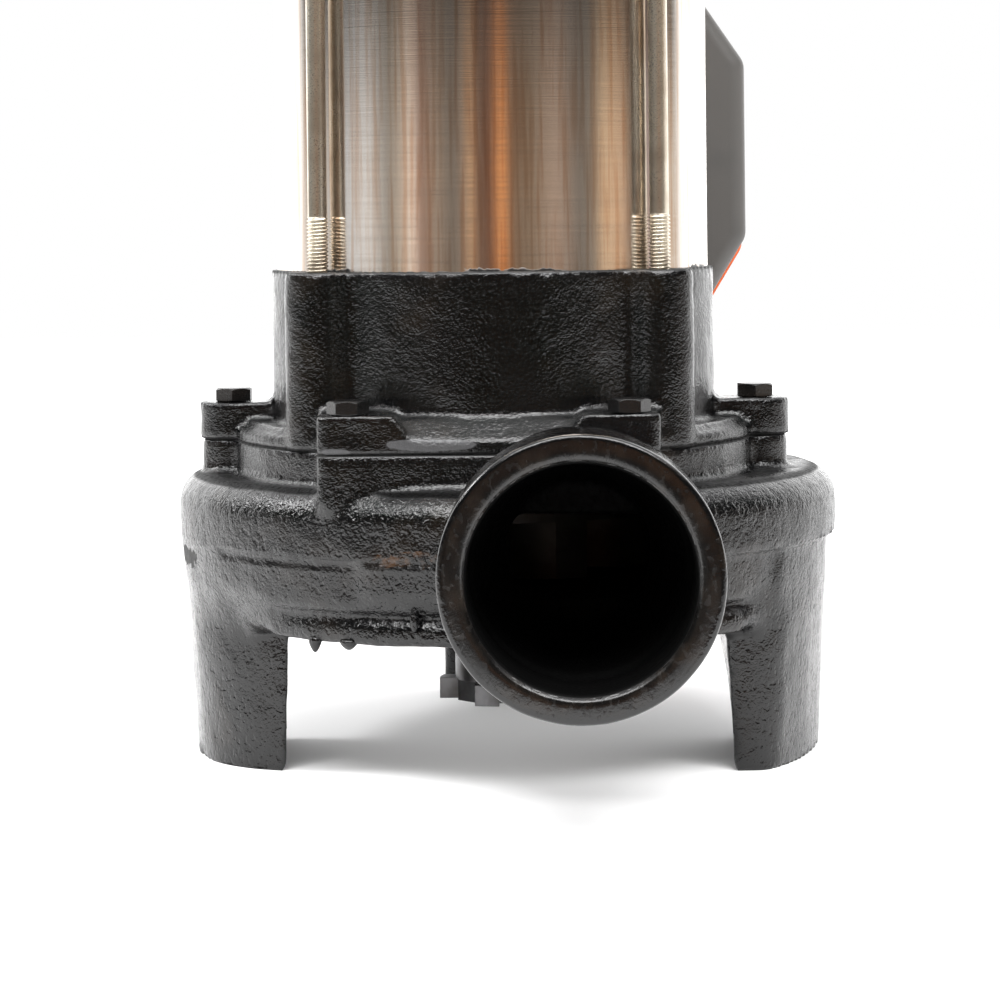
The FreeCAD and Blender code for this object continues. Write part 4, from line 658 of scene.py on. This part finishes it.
# %% [markdown]
# ## Hexagon heads
# A real hexagon head is turned first and then milled, so a cone cuts its corners and each
# flat ends in an arc. Here the radius is a hexagon's as a function of the angle, and the
# rim's height falls with it, which draws the same arcs.

# %% Heads and nuts
CORNER_COLUMNS = 48


def hexagon(flats, turn):
    """Radius of a hexagon over one turn, flats across, its first corner at turn degrees."""
    angle = np.linspace(0, 360, CORNER_COLUMNS, endpoint=False) - turn
    return flats / 2 / np.cos(np.radians(angle % 60 - 30))


def head_net(x, y, flats, bottom, top, turn, shank, shank_end, hole=0.0):
    """Rows from the shank's end, round the head's underside, flats and chamfer, to the top's
    centre; with a hole the rows run down through it and close on the first."""
    corner = hexagon(flats, turn)
    flat = 0 * corner
    rim = 0.475 * flats
    fall = (corner - rim) * math.tan(math.radians(30))
    rows = [(rim, bottom), (corner, bottom + fall * 0.4 + 0.0001), (corner, top - fall), (rim, top)]
    if hole:
        rows = [(hole, bottom)] + rows + [(hole, top), (hole, bottom)]
    else:
        rows = [(0, shank_end), (shank, shank_end), (shank, bottom)] + rows + [(0, top)]
    radius, height = (np.array([row[k] + flat for row in rows]) for k in range(2))
    return turned_net(x, y, radius, height)


def heads_piece(name, nets, slot, node):
    """One crisp-edged piece of several heads, in place of a CAD node."""
    return surface(name, *stack_of(nets), slot, "pump", [node], merged=True, crease=25)


BOLT_CIRCLE, EAR_TOP, BOLT_END = 0.0758, 0.1012, 0.0797
M6_FLATS, M6_RADIUS = 0.010, 0.003
M6_HEAD, M6_NUT, M8_HEAD = 0.0039, 0.005, 0.004
heads = []
for i in range(6):
    x, y = BOLT_CIRCLE * math.cos(i * math.pi / 3), BOLT_CIRCLE * math.sin(i * math.pi / 3)
    turn = 30 if i % 3 == 0 else 0
    heads.append(head_net(x, y, M6_FLATS, EAR_TOP, EAR_TOP + M6_HEAD, turn, M6_RADIUS, BOLT_END))
heads_piece("casing_bolt_heads", heads, "blackened_steel", "casing_bolts")

COLUMN_CIRCLE, NUT_SEAT, NUT_HOLE = 0.0666, 0.3456, 0.00305
columns = [(COLUMN_CIRCLE * math.cos(a), COLUMN_CIRCLE * math.sin(a), math.degrees(a))
           for a in (math.pi / 4 + i * math.pi / 2 for i in range(4))]
nuts = [head_net(x, y, M6_FLATS, NUT_SEAT, NUT_SEAT + M6_NUT, turn, 0, 0, NUT_HOLE)
        for x, y, turn in columns]
heads_piece("rod_nuts", nuts, "stainless_fasteners", "tie_rod_nuts")

HANDLE_SEAT, HANDLE_BOLT_X, HANDLE_BOLT_END = 0.384, 0.03949, 0.370
M8_FLATS, M8_RADIUS = 0.013, 0.004
heads = [head_net(x, 0, M8_FLATS, HANDLE_SEAT, HANDLE_SEAT + M8_HEAD, 0, M8_RADIUS, HANDLE_BOLT_END)
         for x in (-HANDLE_BOLT_X, HANDLE_BOLT_X)]
heads_piece("handle_bolt_heads", heads, "stainless_fasteners", "handle_bolts")

# %% [markdown]
# ## Rolled threads
# The tie rods are thinner than their threads, because the threads were rolled and not
# cut. Each rod is one net over angle and height: radius follows a saw that climbs one
# pitch per turn, and fades into the plain shank.

# %% Tie rods
PITCH, THREAD_DEPTH = 0.001, 0.00056
THREAD_R, SHANK_R = 0.003, 0.00265
ROD_ENDS = (0.1233, 0.3536)
THREADS = ((RIM - 0.0005, 0.1548), (0.324, 0.3532))


def rod_net(x, y):
    """Thread radius: crest minus a triangle wave of the height in pitches less the turn."""
    low, high = ROD_ENDS
    grooved = [np.arange(first, last, PITCH / 8) for first, last in THREADS]
    height = np.concatenate([[low, low], *grooved, [high, high]])
    turn = np.arange(20) / 20
    height = height[:, None] + 0 * turn
    phase = (height / PITCH - turn) % 1
    groove = np.clip((1 - abs(phase - 0.5) * 2 - 0.12) / 0.76, 0, 1) * THREAD_DEPTH
    lower, upper = THREADS
    full = np.clip((lower[1] - height) / 0.001, 0, 1) + np.clip((height - upper[0]) / 0.001, 0, 1)
    radius = SHANK_R * (1 - full) + (THREAD_R - groove) * full
    radius[0] = radius[-1] = 0
    return turned_net(x, y, radius, height)


rods = stack_of([rod_net(x, y) for x, y, _ in columns])
surface("threaded_rods", *rods, "stainless_fasteners", "pump", ["tie_rods"], merged=True)

# %% [markdown]
# ## Float cable
# The cable leaves its gland level, bends over under the float's weight and hangs into the
# boot. Its route is the CAD one, as the control points of a smooth spline; a net of rings
# follows the points read from that spline.

# %% Route and tube
CABLE_R = 0.00375
FLOAT_AZIMUTH = math.radians(70.8)
# (distance from the pump's axis, height) of each control point
ROUTE = ((0.0690, 0.352), (0.0990, 0.352), (0.12498, 0.337), (0.13998, 0.31102),
         (0.1416, 0.28678), (0.1416, 0.2644))
ahead_x, ahead_y = math.cos(FLOAT_AZIMUTH), math.sin(FLOAT_AZIMUTH)
route = [(reach * ahead_x, reach * ahead_y, z) for reach, z in ROUTE]
curve = bpy.data.curves.new("route", "CURVE")
curve.dimensions = "3D"
curve.resolution_u = 12
spline = curve.splines.new("NURBS")
spline.points.add(len(route) - 1)
for point, place in zip(spline.points, route):
    point.co = (*place, 1)
spline.order_u, spline.use_endpoint_u = 3, True
holder = bpy.data.objects.new("route", curve)
scene.collection.objects.link(holder)
bpy.context.view_layer.update()
line = bpy.data.meshes.new_from_object(holder)
followed = np.empty(len(line.vertices) * 3)
line.vertices.foreach_get("co", followed)
followed = followed.reshape(-1, 3)
bpy.data.objects.remove(holder)


def tube_net(path, radius, sides=20):
    """Rings round the path, which lies in an upright plane: level is square to that plane and
    rise is square to level and the path."""
    along = np.gradient(path, axis=0)
    along /= np.linalg.norm(along, axis=1, keepdims=True)
    level = np.array([-ahead_y, ahead_x, 0])
    rise = np.cross(along, level)
    turn = np.linspace(0, 2 * math.pi, sides, endpoint=False)
    ring = np.cos(turn)[None, :, None] * level + np.sin(turn)[None, :, None] * rise[:, None]
    body = path[:, None] + ring * radius
    ends = [np.repeat(path[k][None, None], sides, axis=1) for k in (0, -1)]
    return np.concatenate([ends[0], body, ends[1]])


tube = stack_of([tube_net(followed, CABLE_R)])
float_lead = surface("float_lead", *tube, "cable_sheath", None, ["float_cable"], merged=True)
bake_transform(float_lead)

# %% [markdown]
# ## Studio
# The photograph was taken in a white sweep with the camera in a dark room. Polished steel
# shows that room: a level glossy ray meets cream, grey and one orange reflector in front,
# white beside and behind the pump, and near black above and below the reflectors, up to
# a pale ceiling. Diffuse light is stronger from the sides and the back. The camera itself
# sees plain white, and the floor keeps the object's shadow until it melts into the sweep.

# %% World
# (share of a turn round the pump, red, green, blue) of what polished steel shows
BANDS = (
    (0.000, 1.25, 1.22, 1.20), (0.160, 1.20, 1.15, 1.10), (0.185, 0.42, 0.34, 0.27),
    (0.225, 0.60, 0.55, 0.50), (0.262, 0.62, 0.64, 0.66), (0.315, 0.90, 0.88, 0.86),
    (0.350, 0.36, 0.32, 0.27), (0.368, 0.62, 0.52, 0.42), (0.388, 1.20, 1.00, 0.85),
    (0.399, 0.34, 0.18, 0.12), (0.420, 0.44, 0.34, 0.26), (0.448, 0.20, 0.17, 0.14),
    (0.462, 0.34, 0.26, 0.20), (0.474, 0.80, 0.48, 0.26), (0.484, 0.16, 0.09, 0.06),
    (0.503, 0.20, 0.09, 0.05), (0.519, 1.15, 0.48, 0.16), (0.530, 0.24, 0.15, 0.09),
    (0.560, 0.30, 0.22, 0.15), (0.596, 0.52, 0.38, 0.29), (0.634, 0.22, 0.19, 0.16),
    (0.655, 0.30, 0.25, 0.20), (0.672, 0.85, 0.60, 0.38), (0.705, 0.75, 0.50, 0.32),
    (0.722, 0.16, 0.12, 0.09), (0.760, 0.46, 0.36, 0.34), (0.800, 0.80, 0.66, 0.52),
    (0.825, 0.50, 0.42, 0.34), (0.850, 1.25, 1.22, 1.20))
BAND_GAIN, WHITE = 1.4, (1.0, 1.0, 1.0)
DARK_ROOM, BRIGHT_SWEEP, CEILING = (0.035, 0.033, 0.031), (2.2, 2.2, 2.2), (1.5, 1.5, 1.52)
FRONT_FILL, SIDE_FILL, TOP_FILL = (2.6, 2.55, 2.5), (5.0, 5.0, 5.0), (0.7, 0.7, 0.71)
world = bpy.data.worlds.new("studio")
scene.world = world
world.use_nodes = True
g = Graph(world.node_tree)
place = g.node("ShaderNodeTexCoord", out="Generated")
parts = g.node("ShaderNodeSeparateXYZ", {}, {0: place}).socket.node
x, y, z = (Value(g, socket) for socket in parts.outputs)
azimuth = x.maths("ARCTAN2", y * -1) / (2 * math.pi) + 0.5
stops = [(share, [BAND_GAIN * tone for tone in colour]) for share, *colour in BANDS]
room = g.node("ShaderNodeValToRGB", {"stops": stops}, {0: azimuth})
room = g.mix(DARK_ROOM, room, z.near(0.0, 0.025, 0.05))
room = g.mix(BRIGHT_SWEEP, room, azimuth.near(0.5, 0.315, 0.03))
room = g.mix(room, CEILING, z.between(0.50, 0.85))
rays = g.node("ShaderNodeLightPath").socket.node.outputs
fill = g.mix(FRONT_FILL, SIDE_FILL, y.between(-0.60, 0.05))
fill = g.mix(fill, TOP_FILL, z.between(0.2, 0.6))
shown = g.mix(fill, room, Value(g, rays["Is Glossy Ray"]))
shown = g.mix(shown, WHITE, Value(g, rays["Is Camera Ray"]))
light = g.node("ShaderNodeBackground", {}, {"Color": shown, "Strength": 1.0})
g.node("ShaderNodeOutputWorld", {}, {"Surface": light})

# %% Floor
FRONT, SIDE, BACK = -0.36, 3, 3
floor_mesh = bpy.data.meshes.new("floor")
corners = [(-SIDE, FRONT, 0), (SIDE, FRONT, 0), (SIDE, BACK, 0), (-SIDE, BACK, 0)]
floor_mesh.from_pydata(corners, [], [(0, 1, 2, 3)])
floor = bpy.data.objects.new("floor", floor_mesh)
scene.collection.objects.link(floor)
g = Finish("white_sweep")
far = (g.x ** 2 + g.y ** 2) ** 0.5
tone = g.noise(0.4, g.place) * 0.02
paper = g.mix((0.90, 0.90, 0.90), (0.92, 0.92, 0.91), tone)
diffuse = g.node("ShaderNodeBsdfDiffuse", {}, {"Color": paper})
glow = g.node("ShaderNodeEmission", {}, {"Color": WHITE, "Strength": 1.6})
sweep = g.node("ShaderNodeMixShader", {}, {0: far.between(0.25, 0.80), 1: diffuse, 2: glow})
g.node("ShaderNodeOutputMaterial", {}, {"Surface": sweep})
floor_mesh.materials.append(g.material)


# %% Lamps
def softbox(name, place, target, width, depth, power):
    """Oblong area lamp that looks at a point."""
    lamp = bpy.data.lights.new(name, "AREA")
    lamp.shape, lamp.size, lamp.size_y, lamp.energy = "RECTANGLE", width, depth, power
    box = bpy.data.objects.new(name, lamp)
    scene.collection.objects.link(box)
    gaze = (Vector(target) - Vector(place)).to_track_quat("-Z", "Y")
    box.matrix_world = Matrix.Translation(place) @ gaze.to_matrix().to_4x4()


BELLY_MIDDLE = (0, 0, 0.1)
softbox("top_box", (0.05, -0.62, 1.00), BELLY_MIDDLE, 1.3, 0.42, 22.0)
softbox("left_box", (-0.90, 0.05, 0.76), BELLY_MIDDLE, 0.32, 0.22, 7.0)
